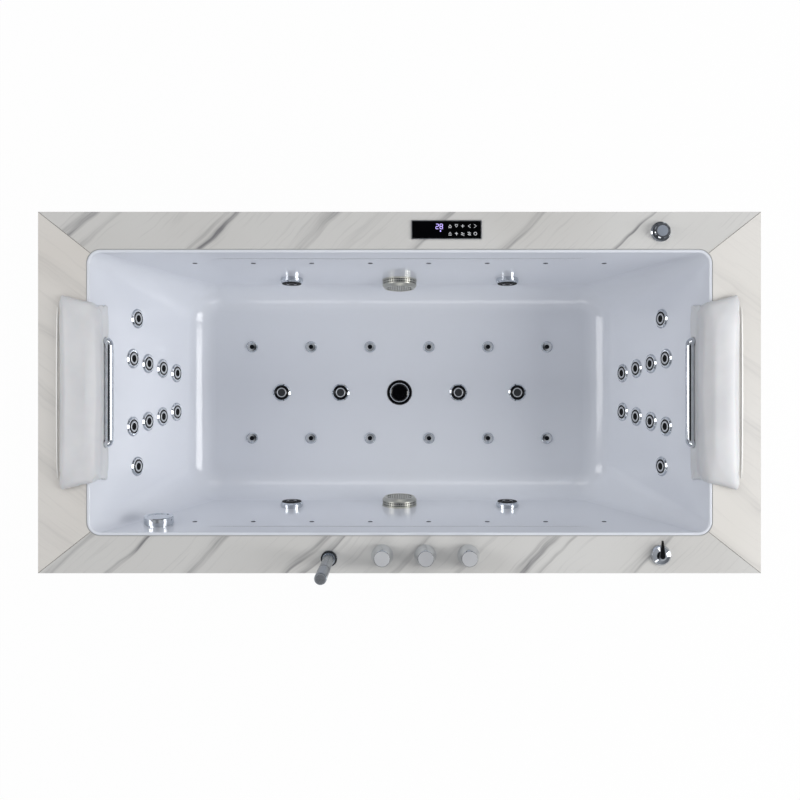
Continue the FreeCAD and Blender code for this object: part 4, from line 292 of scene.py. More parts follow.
LEAN = 1.05       # a vein moves this far along the board for each metre across it
BACK_VEINS = [(-0.80, .010, .034, .55), (-0.745, .006, .016, .30), (-0.475, .004, .012, .40),
              (-0.447, .008, .020, .95), (-0.200, .010, .045, .55), (-0.085, .012, .020, .18),
              (0.081, .008, .022, .50), (0.316, .006, .026, .42), (0.579, .004, .010, .70)]
FRONT_VEINS = [(-0.818, .008, .022, .50), (-0.671, .004, .016, .85), (-0.480, .008, .030, .45),
               (-0.223, .006, .020, .60), (-0.185, .005, .016, .55), (0.036, .006, .016, .35),
               (0.198, .005, .012, .28), (0.357, .010, .030, .75), (0.402, .005, .012, .50),
               (0.636, .008, .032, .50)]
END_VEINS = [(-0.36, .02, .05, .25), (-0.20, .015, .04, .30), (-0.02, .02, .05, .22),
             (0.13, .012, .03, .28), (0.30, .02, .05, .25)]
SKIRT_VEINS = [(-0.95, .02, .04, .4), (-0.72, .01, .04, .7), (-0.50, .01, .03, .35), (-0.26, .01, .05, .6),
               (-0.05, .01, .03, .4), (0.22, .01, .05, .75), (0.50, .02, .04, .4), (0.74, .01, .04, .55)]
END_SKIRT_VEINS = [(-0.52, .01, .04, .5), (-0.30, .01, .03, .35), (-0.02, .01, .05, .7),
                   (0.24, .02, .04, .4)]
BOARD_ROW = 0.4035      # a long board's middle line; its veins are listed by where they cross it
BOARDS = (              # nodes, finish, direction, veins and their shift, other settings
    (("deck_back",), "marble_back_board", (1, -LEAN, 0), BACK_VEINS, -LEAN * BOARD_ROW, {}),
    (("deck_front",), "marble_front_board", (1, -LEAN, 0), FRONT_VEINS, LEAN * BOARD_ROW, {}),
    # The end boards' grounds are paler than the long boards' by the print's own difference. The right board's
    # ground is paler still and its veins fainter: partly the print, partly painted light falling from the
    # right.
    (("deck_left",), "marble_left_board", (0.75, 1, 0), END_VEINS, -0.63,
     {"pale": "#DFDCD7", "shade": "#D8D3CC", "strength": 0.5}),
    (("deck_right",), "marble_right_board", (0.75, 1, 0), END_VEINS, 0.60,
     {"pale": "#E4E1DC", "shade": "#DEDAD3", "strength": 0.45}),
    (("skirt_front", "skirt_back"), "marble_long_skirt", (1, 0, -LEAN), SKIRT_VEINS, -0.12, {}),
    (("skirt_ends",), "marble_end_skirt", (0, 1, -LEAN), END_SKIRT_VEINS, 0.0, {}))
for names, label, across, veins, shift, look in BOARDS:
    shifted = [(spot + shift, *rest) for spot, *rest in veins]
    wear(*names, finish=marble_board(label, across, shifted, **look))
print("marble finishes:", len(BOARDS))

# %% [markdown]
# ## Bright chrome plating
# The rings, knobs and bars are brass or plastic with a mirror-bright chrome
# plating. Chrome has almost no colour of its own, it shows the room, so its
# roughness is tiny. Finger marks and dried water vary that roughness a little,
# and that keeps a large area from looking like a perfect computer mirror.

# %% Chrome finish
chrome, tree, skin, place = new_finish("chrome_plating", 0.05, 1.0, "#D3D7DC")
marks = noise(tree, place, 45.0, 3.0)
tint = ramp(tree, marks, [(0.35, "#D6DADF"), (0.7, "#C6CACF")])
paint(tree, skin, tint, spread(tree, marks, 0.4, 0.75, 0.035, 0.13))
wear("small_jet_bodies", "jet_nozzles", "side_jet_bodies", "air_jet_caps", "air_jet_bodies",
     "drain_trim_ring", "overflow_knob", "overflow_body", "knob_diverter", "knob_cold", "knob_hot",
     "lever_knob", "deck_collars", "regulator_knob", "chrome_bars",
     *("jet_ring_" + jet for jet in JETS), finish=chrome)
print("chrome nodes:", sum(1 for solid in solids.values() if chrome.name in solid.data.materials))

# %% [markdown]
# ## Satin metals
# Three metals are not mirrors. The hand shower is satin nickel, brushed along
# its stick. The suction covers are stainless steel that has been blasted and is
# slightly olive. The frame is hot-dip galvanised steel, whose zinc freezes in
# flat crystals, called spangle, that are 5 to 15 mm wide and each a little
# lighter or darker than the next. A Voronoi texture has just those cells.


# %% Satin and galvanised finishes
def satin_metal(name, colour, dark, roughness, grain):
    """A satin metal. grain gives lines per metre along X, Y and Z."""
    finish, tree, skin, place = new_finish(name, roughness, 1.0, colour)
    lines = noise(tree, vector_node(tree, "MULTIPLY", place, grain), 1.0)
    tone = ramp(tree, lines, [(0.3, dark), (0.7, colour)])
    paint(tree, skin, tone, spread(tree, lines, 0.0, 1.0, roughness * 0.75, roughness * 1.3))
    bump(tree, skin, lines, 0.12, 0.1 * MM)
    return finish


wear("hand_shower", finish=satin_metal("satin_nickel_shower", "#A9B0B8", "#8D949C", 0.24,
                                       (900.0, 900.0, 30.0)))
steel = satin_metal("blasted_stainless", "#C9C8BF", "#AEADA4", 0.3, (1300.0, 1300.0, 1300.0))
wear("panel_housing", finish=satin_metal("anodised_aluminium", "#C2C5CA", "#A9ACB1", 0.3,
                                         (60.0, 1500.0, 60.0)))
# The suction covers behind the punched drums are near-black: painted shade of the drums' hollows, seen
# through the holes.
wear("suction_covers", finish=satin_metal("painted_shade_strainer_steel", "#141412", "#0C0C0B", 0.6,
                                          (700.0, 700.0, 700.0)))

galvanised, tree, skin, place = new_finish("galvanised_steel", 0.42, 0.85)
crystal = add(tree, "ShaderNodeTexVoronoi", {"Vector": place, "Scale": 95.0}, feature="F1")
grey = add(tree, "ShaderNodeSeparateColor", {"Color": crystal.outputs["Color"]})
zinc = ramp(tree, grey.outputs[0], [(0.0, "#8E9498"), (0.5, "#A4AAAE"), (1.0, "#BCC1C4")])
paint(tree, skin, zinc, spread(tree, grey.outputs[1], 0.0, 1.0, 0.32, 0.52))
wear("frame_tubes", "frame_fittings", "levelling_feet", finish=galvanised)
print("satin metals: 4, galvanised: 1")

# %% [markdown]
# ## Plastics, rubber and glass
# Most of what is left is moulded. White PVC pipe is drawn through a die, so it
# is smooth with faint streaks. Machine housings are ABS with a fine spark
# texture, about 0.5 mm from bump to bump, drawn here at 1 mm so that a camera
# sees it. Black inserts are polished. One function makes them all, because they
# differ only in colour, gloss and grain. Brass valves are cast and a bit mottled.


# %% Moulded finishes
def moulded(name, colour, shade, roughness, grain, relief, **extra):
    """A moulded plastic, rubber or casting. grain and relief are its texture's width and depth in mm."""
    finish, tree, skin, place = new_finish(name, roughness, extra.pop("metallic", 0.0), colour, **extra)
    spark = noise(tree, place, 1 / (grain * MM))
    handled = noise(tree, place, 9.0, 3.0)
    tone = ramp(tree, handled, [(0.35, shade), (0.65, colour)])
    paint(tree, skin, tone, spread(tree, handled, 0.0, 1.0, roughness * 0.85, roughness * 1.2))
    bump(tree, skin, spark, 0.25, relief * MM)
    return finish


MOULDED = (     # finish, colour, shade, roughness, grain, relief, other settings, nodes
    ("white_pvc_pipe", "#E6E6E1", "#D9D9D2", 0.38, 6, 0.05, {},
     ("water_pipes", "air_pipes", "waste_pipes", "end_manifolds", "backing_nuts", "suction_bodies")),
    ("polished_black_abs", "#0B0B0D", "#08080A", 0.09, 8, 0.02, {},
     ("jet_inserts", "drain_flange", "drain_plug", *("jet_ball_" + jet for jet in JETS), "lever_handle")),
    ("lamp_holder_black", "#1A1C20", "#121418", 0.35, 1, 0.05, {}, ("wall_light_bodies",)),
    ("smoked_lens", "#2B2E38", "#23262F", 0.08, 3, 0.02, {"Coat Weight": 1.0}, ("wall_light_lenses",)),
    ("black_touch_glass", "#050507", "#030304", 0.05, 20, 0.01, {}, ("panel_glass",)),
    ("seal_rubber", "#0E0E0E", "#0A0A0A", 0.7, 0.8, 0.05, {}, ("plug_seal",)),
    ("cable_sleeve", "#141414", "#101010", 0.45, 1.2, 0.05, {}, ("plug_cable",)),
    ("black_spark_abs", "#16171A", "#101114", 0.5, 1, 0.2, {}, ("pump_housing", "blower_housing")),
    ("glass_filled_nylon", "#3E3F42", "#343538", 0.5, 1, 0.1, {}, ("pump_impeller", "blower_fan")),
    ("grey_spark_abs", "#6F747B", "#646971", 0.48, 1, 0.2, {}, ("control_box",)),
    ("cast_brass", "#C4A05C", "#A9874A", 0.38, 1.5, 0.15, {"metallic": 1.0}, ("valve_bodies",)))
for *look, extra, names in MOULDED:
    wear(*names, finish=moulded(*look, **extra))
bare = [name for name, solid in solids.items() if not solid.data.materials or solid.data.materials[0] is None]
print("solids still without a finish:", bare)

# %% [markdown]
# ## A mesh from a list of points
# The pieces that follow are built point by point with bmesh: rings of points
# joined into a skin (a loft), or a flat outline raised to a slab. Both helpers
# end by recalculating the normals, so every face looks outwards, and both leave
# the object at the origin with its place in its mesh.


# %% Loft and slab helpers
def finish_mesh(name, shape, finish, body=None, smooth=True):
    """Turn a bmesh into an object with a finish, riding on a body."""
    bmesh.ops.remove_doubles(shape, verts=shape.verts, dist=1e-7)
    bmesh.ops.recalc_face_normals(shape, faces=shape.faces)
    mesh = bpy.data.meshes.new(name)
    shape.to_mesh(mesh)
    shape.free()
    for face in mesh.polygons:
        face.use_smooth = smooth
    piece = bpy.data.objects.new(name, mesh)
    scene.collection.objects.link(piece)
    mesh.materials.append(finish)
    if body:
        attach(piece, body)
    return piece


def loft(rings, closed=True, shape=None):
    """Join rings of points into a skin. closed adds a lid at each end."""
    shape = shape or bmesh.new()
    rows = [[shape.verts.new(point) for point in ring] for ring in rings]
    for near, far in zip(rows, rows[1:]):
        for step in range(len(near)):
            following = (step + 1) % len(near)
            shape.faces.new((near[step], near[following], far[following], far[step]))
    if closed:
        shape.faces.new(reversed(rows[0]))
        shape.faces.new(rows[-1])
    return shape


def turned(profile, frame_matrix, steps=64, shape=None):
    """Turn a closed (radius, height) profile about a matrix's Z axis."""
    shape = shape or bmesh.new()
    rings = []
    for step in range(steps):
        angle = 2 * math.pi * step / steps
        rings.append([frame_matrix @ Vector((r * math.cos(angle), r * math.sin(angle), z))
                      for r, z in profile])
    rows = [[shape.verts.new(point) for point in ring] for ring in rings]
    for step in range(steps):
        near, far = rows[step], rows[(step + 1) % steps]
        for index in range(len(profile)):
            following = (index + 1) % len(profile)
            corners = [near[index], near[following], far[following], far[index]]
            if profile[index][0] == 0 and profile[following][0] == 0:
                continue
            shape.faces.new(corners)
    return shape


def slab(outline, low, high, shape=None):
    """Raise a flat (x, y) outline between two heights."""
    return loft([[(x, y, low) for x, y in outline], [(x, y, high) for x, y in outline]], shape=shape)


def wall_frame(point, inward):
    """The matrix of a fitting on a wall: its Z axis points into the basin."""
    return Matrix.Translation(point) @ Vector(inward).to_track_quat("Z", "Y").to_matrix().to_4x4()


def long_wall(side, x, depth):
    """A place on the back (side 1) or front (side -1) wall, as a fitting's matrix."""
    angle = math.atan(SIDE_RUN)
    return wall_frame(Vector((x, side * (MOUTH_Y - depth * SIDE_RUN), DECK_TOP - depth)),
                      (0, -side * math.cos(angle), math.sin(angle)))


print("mesh helpers ready")

# %% [markdown]
# ## Head pillows
# Each pillow is soft integral-skin polyurethane foam that hangs over the tub's
# rim: flat where it lies on the deck and on the sloping wall, full and rounded
# above the rim, thin and crisp at its two ends. A loft gives the resting shape,
# a little too small. Then Blender's cloth solver blows it up with a light inner
# pressure, as foam fills its skin, and every point is kept within a few
# millimetres of where it started and off the deck and the wall.

# %% The pillow's resting shape
PILLOW_HALF = 0.2475        # half its length across the tub
PILLOW_OUTER = 0.8505       # its outer edge on the deck, from the middle
END_ANGLE = math.atan(END_RUN)


def on_wall(depth, height):
    """(x, z) of a point off the right end wall: how deep below the rim, how far off the wall."""
    return (MOUTH_X - depth * END_RUN - height * math.cos(END_ANGLE), -depth + height * math.sin(END_ANGLE))


def smooth_line(points, steps):
    """A Catmull-Rom curve through points."""
    line = []
    padded_points = [points[0], *points, points[-1]]
    fours = zip(padded_points, padded_points[1:], padded_points[2:], padded_points[3:])
    for before, start, end, after in fours:
        for step in range(steps):
            t = step / steps
            line.append(tuple(0.5 * ((2 * start[k]) + (end[k] - before[k]) * t
                                     + (2 * before[k] - 5 * start[k] + 4 * end[k] - after[k]) * t * t
                                     + (3 * start[k] - before[k] - 3 * end[k] + after[k]) * t ** 3)
                              for k in range(2)))
    return line + [points[-1]]


def pillow_ring(side, y, fullness):
    """The pillow's outline at y: its top is a smooth line, its underside follows deck, rim and wall."""
    crown, thin = 0.0235 * fullness, 0.0065 * max(fullness, 0.7)
    outer = PILLOW_OUTER - (1 - fullness) * 0.008
    drop = 0.066 - (1 - fullness) * 0.006
    top = smooth_line([(outer, 0.0025 * fullness), (outer - 0.004, 0.0065 * fullness), (0.828, crown * 0.86),
                       (0.797, crown), (0.765, crown * 0.80), on_wall(0.012, 0.0165 * fullness),
                       on_wall(0.032, 0.0095 * fullness), on_wall(drop - 0.004, thin),
                       on_wall(drop, 0.002)], 5)
    under = [on_wall(depth, 0.001) for depth in (drop - 0.002, 0.045, 0.022, 0.002)]
    under += [(x, 0.001) for x in (MOUTH_X + 0.002, 0.79, 0.81, 0.83, outer - 0.002)]
    ring = []
    for x, z in top + under:
        taper = 1 - 0.095 * (outer - x) / (outer - 0.744)
        ring.append((side * x, y * taper, DECK_TOP + z))
    return ring


def pillow_shape(side):
    """Rings from one end to the other; the fullness falls away quickly near the ends."""
    rings = []
    for step in range(25):
        t = -1 + step / 12
        t = math.copysign(1 - (1 - abs(t)) ** 1.5, t)
        fullness = 0.25 + 0.75 * (1 - abs(t) ** 7) ** 0.6
        rings.append(pillow_ring(side, PILLOW_HALF * t, fullness))
    return loft(rings)


print("pillow ring points:", len(pillow_ring(1, 0, 1)))

# %% [markdown]
# The skin is soft polyurethane with a satin face and a very fine grain, about
# 0.4 mm, drawn here at 0.8 mm. A little sheen lifts its edges, as light does on
# a soft pale skin. Its colour is a pale warm grey, not white.

# %% Pillow finish
foam_skin, tree, skin, place = new_finish(
    "integral_skin_polyurethane", 0.42, 0.0, "#DADADA",
    **{"Sheen Weight": 0.25, "Sheen Roughness": 0.4, "Subsurface Weight": 0.05})
grain = add(tree, "ShaderNodeTexVoronoi", {"Vector": place, "Scale": 1250.0}, feature="DISTANCE_TO_EDGE")
wave = noise(tree, place, 14.0)
tone = ramp(tree, wave, [(0.3, "#D0D0D2"), (0.7, "#D9D9DA")])
paint(tree, skin, tone, spread(tree, wave, 0.0, 1.0, 0.36, 0.5))
bump(tree, skin, grain.outputs["Distance"], 0.08, 0.05 * MM)


# %% Fill the pillows with the cloth solver
VOXEL = 0.004                           # the pillow's even mesh
CAP = 0.0045                            # a point moves no further than this
BAR_HALF, LEG_INSET = 0.1395, 0.01075   # the chrome bar, and its legs from its ends
LEG_DEPTH, LEG_HOLE = 0.045, 0.0118     # the legs below the rim, and the hole's radius


def keep_off(point, side, gap=0.0006):
    """Move a point out of the deck or the end wall."""
    x = point.x * side
    above_deck = point.z - DECK_TOP
    off_wall = (x - MOUTH_X) * -math.cos(END_ANGLE) + (point.z - DECK_TOP) * math.sin(END_ANGLE)
    if above_deck < gap and off_wall < gap:
        if above_deck > off_wall:
            point.z = DECK_TOP + gap
        else:
            push = gap - off_wall
            point.x -= side * push * math.cos(END_ANGLE)
            point.z += push * math.sin(END_ANGLE)
    return point


def keep_result(piece):
    """Make what a piece's modifiers give its own plain mesh."""
    view = bpy.context.evaluated_depsgraph_get()
    made = bpy.data.meshes.new_from_object(piece.evaluated_get(view))
    piece.modifiers.clear()
    piece.data = made


def fill(piece, side, cap):
    """Remesh, blow up with cloth for 20 frames and keep each point within cap of its start."""
    remesh = piece.modifiers.new("even", "REMESH")
    remesh.mode, remesh.voxel_size = "VOXEL", VOXEL
    keep_result(piece)
    start = [vertex.co.copy() for vertex in piece.data.vertices]
    cloth = piece.modifiers.new("foam", "CLOTH")
    cloth.settings.quality = 5
    cloth.settings.mass = 0.3
    cloth.settings.tension_stiffness = cloth.settings.compression_stiffness = 12
    cloth.settings.bending_stiffness = 2.5
    cloth.settings.use_pressure = True
    cloth.settings.uniform_pressure_force = 4.0
    cloth.settings.effector_weights.gravity = 0.0
    cloth.collision_settings.use_collision = False
    for frame_number in range(1, 21):
        scene.frame_set(frame_number)
    keep_result(piece)
    scene.frame_set(1)
    most = 0.0
    for vertex, origin in zip(piece.data.vertices, start):
        move = vertex.co - origin
        most = max(most, move.length)
        if move.length > cap:
            vertex.co = origin + move * (cap / move.length)
        vertex.co = keep_off(vertex.co.copy(), side)
    even_out = bmesh.new()
    even_out.from_mesh(piece.data)
    for _ in range(2):
        bmesh.ops.smooth_vert(even_out, verts=even_out.verts, factor=0.5, use_axis_x=True, use_axis_y=True,
                              use_axis_z=True)
    for vertex in even_out.verts:
        vertex.co = keep_off(vertex.co.copy(), side)
    even_out.to_mesh(piece.data)
    even_out.free()
    for face in piece.data.polygons:
        face.use_smooth = True
    return most


def bore_for_bar(piece, side):
    """Open the pillow round the two legs of the chrome bar."""
    leg_y = BAR_HALF - LEG_INSET
    hole_profile = [(0, -0.01), (LEG_HOLE, -0.01), (LEG_HOLE, 0.06), (0, 0.06)]
    for half in (-1, 1):
        x, z = on_wall(LEG_DEPTH, 0.0)
        axis = wall_frame(Vector((side * x, half * leg_y, DECK_TOP + z)),
                          (-side * math.cos(END_ANGLE), 0, math.sin(END_ANGLE)))
        cutter = finish_mesh("leg_cutter", turned(hole_profile, axis, 32), foam_skin)
        hole = piece.modifiers.new("leg", "BOOLEAN")
        hole.object, hole.operation, hole.solver = cutter, "DIFFERENCE", "EXACT"
        keep_result(piece)
        bpy.data.objects.remove(cutter)


for side, node in ((-1, "pillow_left"), (1, "pillow_right")):
    pillow = finish_mesh(node.replace("pillow", "head_pillow"), pillow_shape(side), foam_skin)
    moved_most = fill(pillow, side, CAP)
    bore_for_bar(pillow, side)
    pillow.data.materials.clear()
    pillow.data.materials.append(foam_skin)
    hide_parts(node)
    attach(pillow, "tub")
    print(pillow.name, len(pillow.data.polygons), "faces, swelled up to", round(moved_most * 1000, 1), "mm")

# %% [markdown]
# A thin white strip runs along each pillow's outer edge on the deck. It is a
# painted highlight: a bright line of light, 430 mm long and a few millimetres wide.
# A D-shaped section is lofted along it, and it follows the edge's slight bow.

# %% Pillow edge strips: a painted highlight
# Painted highlight: the white strip stands in for the light along each pillow's outer edge.
edge_highlight_strip = moulded("pillow_edge_highlight_white", "#F1F1EE", "#ECECE8", 0.25, 1, 0.03)
for side in (-1, 1):
    rings = []
    for step in range(21):
        t = -1 + step / 10
        x = PILLOW_OUTER + 0.0012 - 0.0012 * t * t
        thick = 0.0034 * (1 - abs(t) ** 8 * 0.6)
        section = [(0, 0.0002), (thick, 0.0002), (thick, thick * 0.5), (thick * 0.8, thick * 0.8),
                   (thick * 0.4, thick * 0.95), (0, thick)]
        rings.append([(side * (x + across), 0.213 * t, DECK_TOP + up) for across, up in section])
    label = "left" if side < 0 else "right"
    finish_mesh("pillow_clip_" + label, loft(rings), edge_highlight_strip, "tub", smooth=False)
print("pillow edge highlight strips: 2")

# %% [markdown]
# ## Geometry Nodes as a punch press
# Some pieces are one small shape repeated hundreds of times. A node tree does
# that work: it takes one cell and a few numbers, and makes the whole pattern.
# The helpers here make a tree with named inputs, run a tree on an empty object to
# keep its result as a plain mesh, and add one geometry node. An alternative is a pair of Array
# modifiers, but they can't trim a sheet to a circle or roll it up.


# %% Helpers for node trees
def maker_tree(name, **inputs):
    """A Geometry Nodes tree with named inputs and one mesh output. Returns it with its group input."""
    tree = bpy.data.node_groups.new(name, "GeometryNodeTree")
    for label, kind in inputs.items():
        tree.interface.new_socket(label, in_out="INPUT", socket_type="NodeSocket" + kind)
    tree.interface.new_socket("mesh", in_out="OUTPUT", socket_type="NodeSocketGeometry")
    return tree, add(tree, "NodeGroupInput").outputs


def run_tree(tree, **values):
    """Run a tree with its inputs set by identifier, and return the plain mesh it makes."""
    holder = bpy.data.objects.new("maker", bpy.data.meshes.new("maker"))
    scene.collection.objects.link(holder)
    modifier = holder.modifiers.new("maker", "NODES")
    modifier.node_group = tree
    for socket in tree.interface.items_tree:
        if socket.in_out == "INPUT":
            modifier[socket.identifier] = values[socket.name]
    holder.update_tag()
    made = bpy.data.meshes.new_from_object(holder.evaluated_get(bpy.context.evaluated_depsgraph_get()))
    bpy.data.objects.remove(holder)
    return made


def geo(tree, kind, sockets):
    """A geometry node's first output."""
    return add(tree, "GeometryNode" + kind, sockets).outputs[0]


# a punched sheet: cells on a grid, trimmed to a circle, rolled if it has a roll radius, then thickened
punch, given = maker_tree("punched_sheet", cell="Object", columns="Int", rows="Int", pitch="Float",
                          thickness="Float", roll="Float", trim="Float", finish="Material")
wide = math_node(punch, "MULTIPLY", math_node(punch, "SUBTRACT", given["columns"], 1.0), given["pitch"])
tall = math_node(punch, "MULTIPLY", math_node(punch, "SUBTRACT", given["rows"], 1.0), given["pitch"])
grid = geo(punch, "MeshGrid", {"Size X": wide, "Size Y": tall, "Vertices X": given["columns"],
                               "Vertices Y": given["rows"]})
spot = geo(punch, "InputPosition", {})
reach = add(punch, "ShaderNodeVectorMath", {0: spot}, operation="LENGTH").outputs["Value"]
outside = add(punch, "FunctionNodeCompare", {0: reach, 1: given["trim"]}, operation="GREATER_THAN")
kept = geo(punch, "DeleteGeometry", {"Geometry": grid, "Selection": outside.outputs[0]})
cell = add(punch, "GeometryNodeObjectInfo", {"Object": given["cell"], "As Instance": True})
placed = geo(punch, "InstanceOnPoints", {"Points": kept, "Instance": cell.outputs["Geometry"]})
flat = geo(punch, "RealizeInstances", {0: placed})
parts = add(punch, "ShaderNodeSeparateXYZ", {0: spot}).outputs
turn = math_node(punch, "DIVIDE", parts["X"], math_node(punch, "MAXIMUM", given["roll"], 0.001))
rolled = add(punch, "ShaderNodeCombineXYZ", {
    "X": math_node(punch, "MULTIPLY", given["roll"], math_node(punch, "COSINE", turn)),
    "Y": math_node(punch, "MULTIPLY", given["roll"], math_node(punch, "SINE", turn)), "Z": parts["Y"]})
rolls = add(punch, "FunctionNodeCompare", {0: given["roll"], 1: 0.0}, operation="GREATER_THAN")
bent = geo(punch, "SetPosition", {"Geometry": flat, "Selection": rolls.outputs[0],
                                  "Position": rolled.outputs[0]})
sheet = geo(punch, "MergeByDistance", {"Geometry": bent, "Distance": 0.05 * MM})
raised = geo(punch, "ExtrudeMesh", {"Mesh": sheet, "Offset Scale": given["thickness"],
                                    "Individual": False})
both = add(punch, "GeometryNodeJoinGeometry", {0: raised})
punch.links.new(geo(punch, "FlipFaces", {"Mesh": sheet}), both.inputs[0])
whole = geo(punch, "MergeByDistance", {"Geometry": both.outputs[0], "Distance": 0.01 * MM})
add(punch, "NodeGroupOutput", {0: geo(punch, "SetMaterial", {"Geometry": whole,
                                                             "Material": given["finish"]})})

# a ring of one item, turned so that each copy faces outwards
circle, given = maker_tree("ring_of_items", item="Object", count="Int", radius="Float", finish="Material")
loop = geo(circle, "MeshCircle", {"Vertices": given["count"], "Radius": given["radius"]})
spot = geo(circle, "InputPosition", {})
facing = add(circle, "FunctionNodeAlignRotationToVector", {"Vector": spot}, axis="X")
item = add(circle, "GeometryNodeObjectInfo", {"Object": given["item"], "As Instance": True})
ring = geo(circle, "InstanceOnPoints", {"Points": loop, "Instance": item.outputs["Geometry"],
                                        "Rotation": facing.outputs[0]})
solid = geo(circle, "RealizeInstances", {0: ring})
add(circle, "NodeGroupOutput", {0: geo(circle, "SetMaterial", {"Geometry": solid,
                                                               "Material": given["finish"]})})
print("node trees:", punch.name, circle.name)

# %% [markdown]
# ## Punched steel over the suctions
# Water is drawn out of the bathtub through two drums of punched stainless steel,
# so that hair and fingers stay out. The real drum starts as a flat sheet in which
# a press punches rows of 4 mm holes. It is rolled into a tube and gets a punched
# lid under a rolled rim. The pieces follow that: 46 cells make one turn of a
# 46.7 mm radius at about 6.4 mm a cell. The dark cover behind them is the solid.

# %% Suction drums
DRUM, CELLS = 46.7, 46                  # the tube's radius in mm, and its cells round
SHEET, HOLE = 0.8 * MM, 2.15 * MM       # the steel's thickness, and a hole's corner radius
LID = 13                                # cells each way, before the lid is cut round
SUCTION_DEPTH = 0.319                   # below the rim
PITCH = 2 * math.pi * DRUM * MM / CELLS
outer = [(1, 0), (1, 1), (0, 1), (-1, 1), (-1, 0), (-1, -1), (0, -1), (1, -1)]
shape = bmesh.new()
rim = [shape.verts.new((x * PITCH / 2, y * PITCH / 2, 0)) for x, y in outer]
edge = [shape.verts.new((HOLE * math.cos(k * math.pi / 4), HOLE * math.sin(k * math.pi / 4), 0))
        for k in range(8)]
for k in range(8):
    shape.faces.new((rim[k], rim[(k + 1) % 8], edge[(k + 1) % 8], edge[k]))
cell_mesh = bpy.data.meshes.new("punched_cell")
shape.to_mesh(cell_mesh)
shape.free()
cell = bpy.data.objects.new("punched_cell", cell_mesh)
punched = {"cell": cell, "pitch": PITCH, "thickness": SHEET, "finish": steel}
band = run_tree(punch, columns=CELLS, rows=2, roll=DRUM * MM, trim=1.0, **punched)
lid = run_tree(punch, columns=LID, rows=LID, roll=0.0, trim=34.0 * MM, **punched)
bpy.data.objects.remove(cell)
RIM = [(47.8, 15.2), (47.8, 17.3), (41.6, 24.4), (36.0, 24.4), (36.0, 23.2), (41.0, 23.2), (46.6, 16.6),
       (46.6, 15.2)]
FOOT = [(48.4, 0.3), (48.4, 1.4), (47.6, 2.7), (46.6, 2.7), (46.6, 0.3)]
for side, label in ((1, "back"), (-1, "front")):
    seat = long_wall(side, 0, SUCTION_DEPTH)
    shape = bmesh.new()
    for mesh, lift in ((band, 8.95 * MM), (lid, 23.2 * MM)):
        start = len(shape.verts)
        shape.from_mesh(mesh)
        shape.verts.ensure_lookup_table()
        for vert in shape.verts[start:]:
            vert.co = seat @ (vert.co + Vector((0, 0, lift)))
    for profile in (RIM, FOOT):
        turned([(r * MM, z * MM) for r, z in profile], seat, 72, shape)
    drum = finish_mesh("suction_drum_" + label, shape, steel, "tub", smooth=False)
print("suction drums: 2,", len(drum.data.polygons), "faces each")

# %% [markdown]
# ## Knob faces
# Each chrome knob carries a flat satin disc, which is a separate turned part
# that is pressed into a shallow seat. The air regulator has a dull blue-grey
# disc. A disc's own thin edge catches a line of light, so each is turned with a
# small chamfer instead of being drawn on the chrome.

# %% Discs on the knobs
satin = moulded("satin_knob_face", "#D2D3D5", "#C3C4C7", 0.42, 0.8, 0.02, metallic=0.35)
slate = moulded("slate_regulator_face", "#8F96A1", "#7E858F", 0.4, 0.8, 0.02, metallic=0.25)


def disc(name, x, y, low, high, radius, finish, body):
    """A flat disc with a chamfered edge, riding on a knob."""
    seat = Matrix.Translation((x, y, 0))
    profile = [(0, low), (radius, low), (radius, high - 0.4 * MM), (radius - 0.5 * MM, high), (0, high)]
    return finish_mesh(name, turned(profile, seat, 64), finish, body, smooth=False)


FIRST_KNOB, KNOB_STEP = -0.043, 0.107   # along the front board
for number, body in enumerate(("knob_diverter", "knob_cold", "knob_hot")):
    disc(body + "_face", FIRST_KNOB + KNOB_STEP * number, -TAP_ROW, 0.6598, 0.6606, 18.8 * MM, satin, body)
disc("regulator_face", 0.650, 0.400, 0.6202, 0.6224, 13.4 * MM, slate, "air_regulator")
print("knob faces: 4")

# %% [markdown]
# ## Hand shower
# The stick's upper third is the spray head: a tube of a slightly darker satin,
# a black joint ring below it and rows of small rubber nozzles on its end. Two
# black rings lie on the collar that it stands in.

# %% Spray head, joint ring, nozzles and collar rings
SHOWER = (-0.175, -0.412)
head_metal = satin_metal("satin_spray_head", "#A3A8AE", "#90959B", 0.3, (900.0, 900.0, 40.0))
plate_grey = moulded("grey_spray_plate", "#7F8286", "#73767A", 0.45, 1, 0.02)
ring_rubber = moulded("black_ring_rubber", "#101113", "#0B0C0E", 0.4, 1, 0.03)
nozzle_rubber = moulded("grey_nozzle_rubber", "#3F4246", "#36393C", 0.55, 0.6, 0.02)
stick = Matrix.Translation((*SHOWER, 0))


def band_profile(inside, outside, low, high, edge=0.3):
    """The profile of a sleeve or ring with small chamfers, from millimetres and metres."""
    return [(inside * MM, low), (outside * MM, low), (outside * MM, high - edge * MM),
            ((outside - edge) * MM, high), (inside * MM, high)]


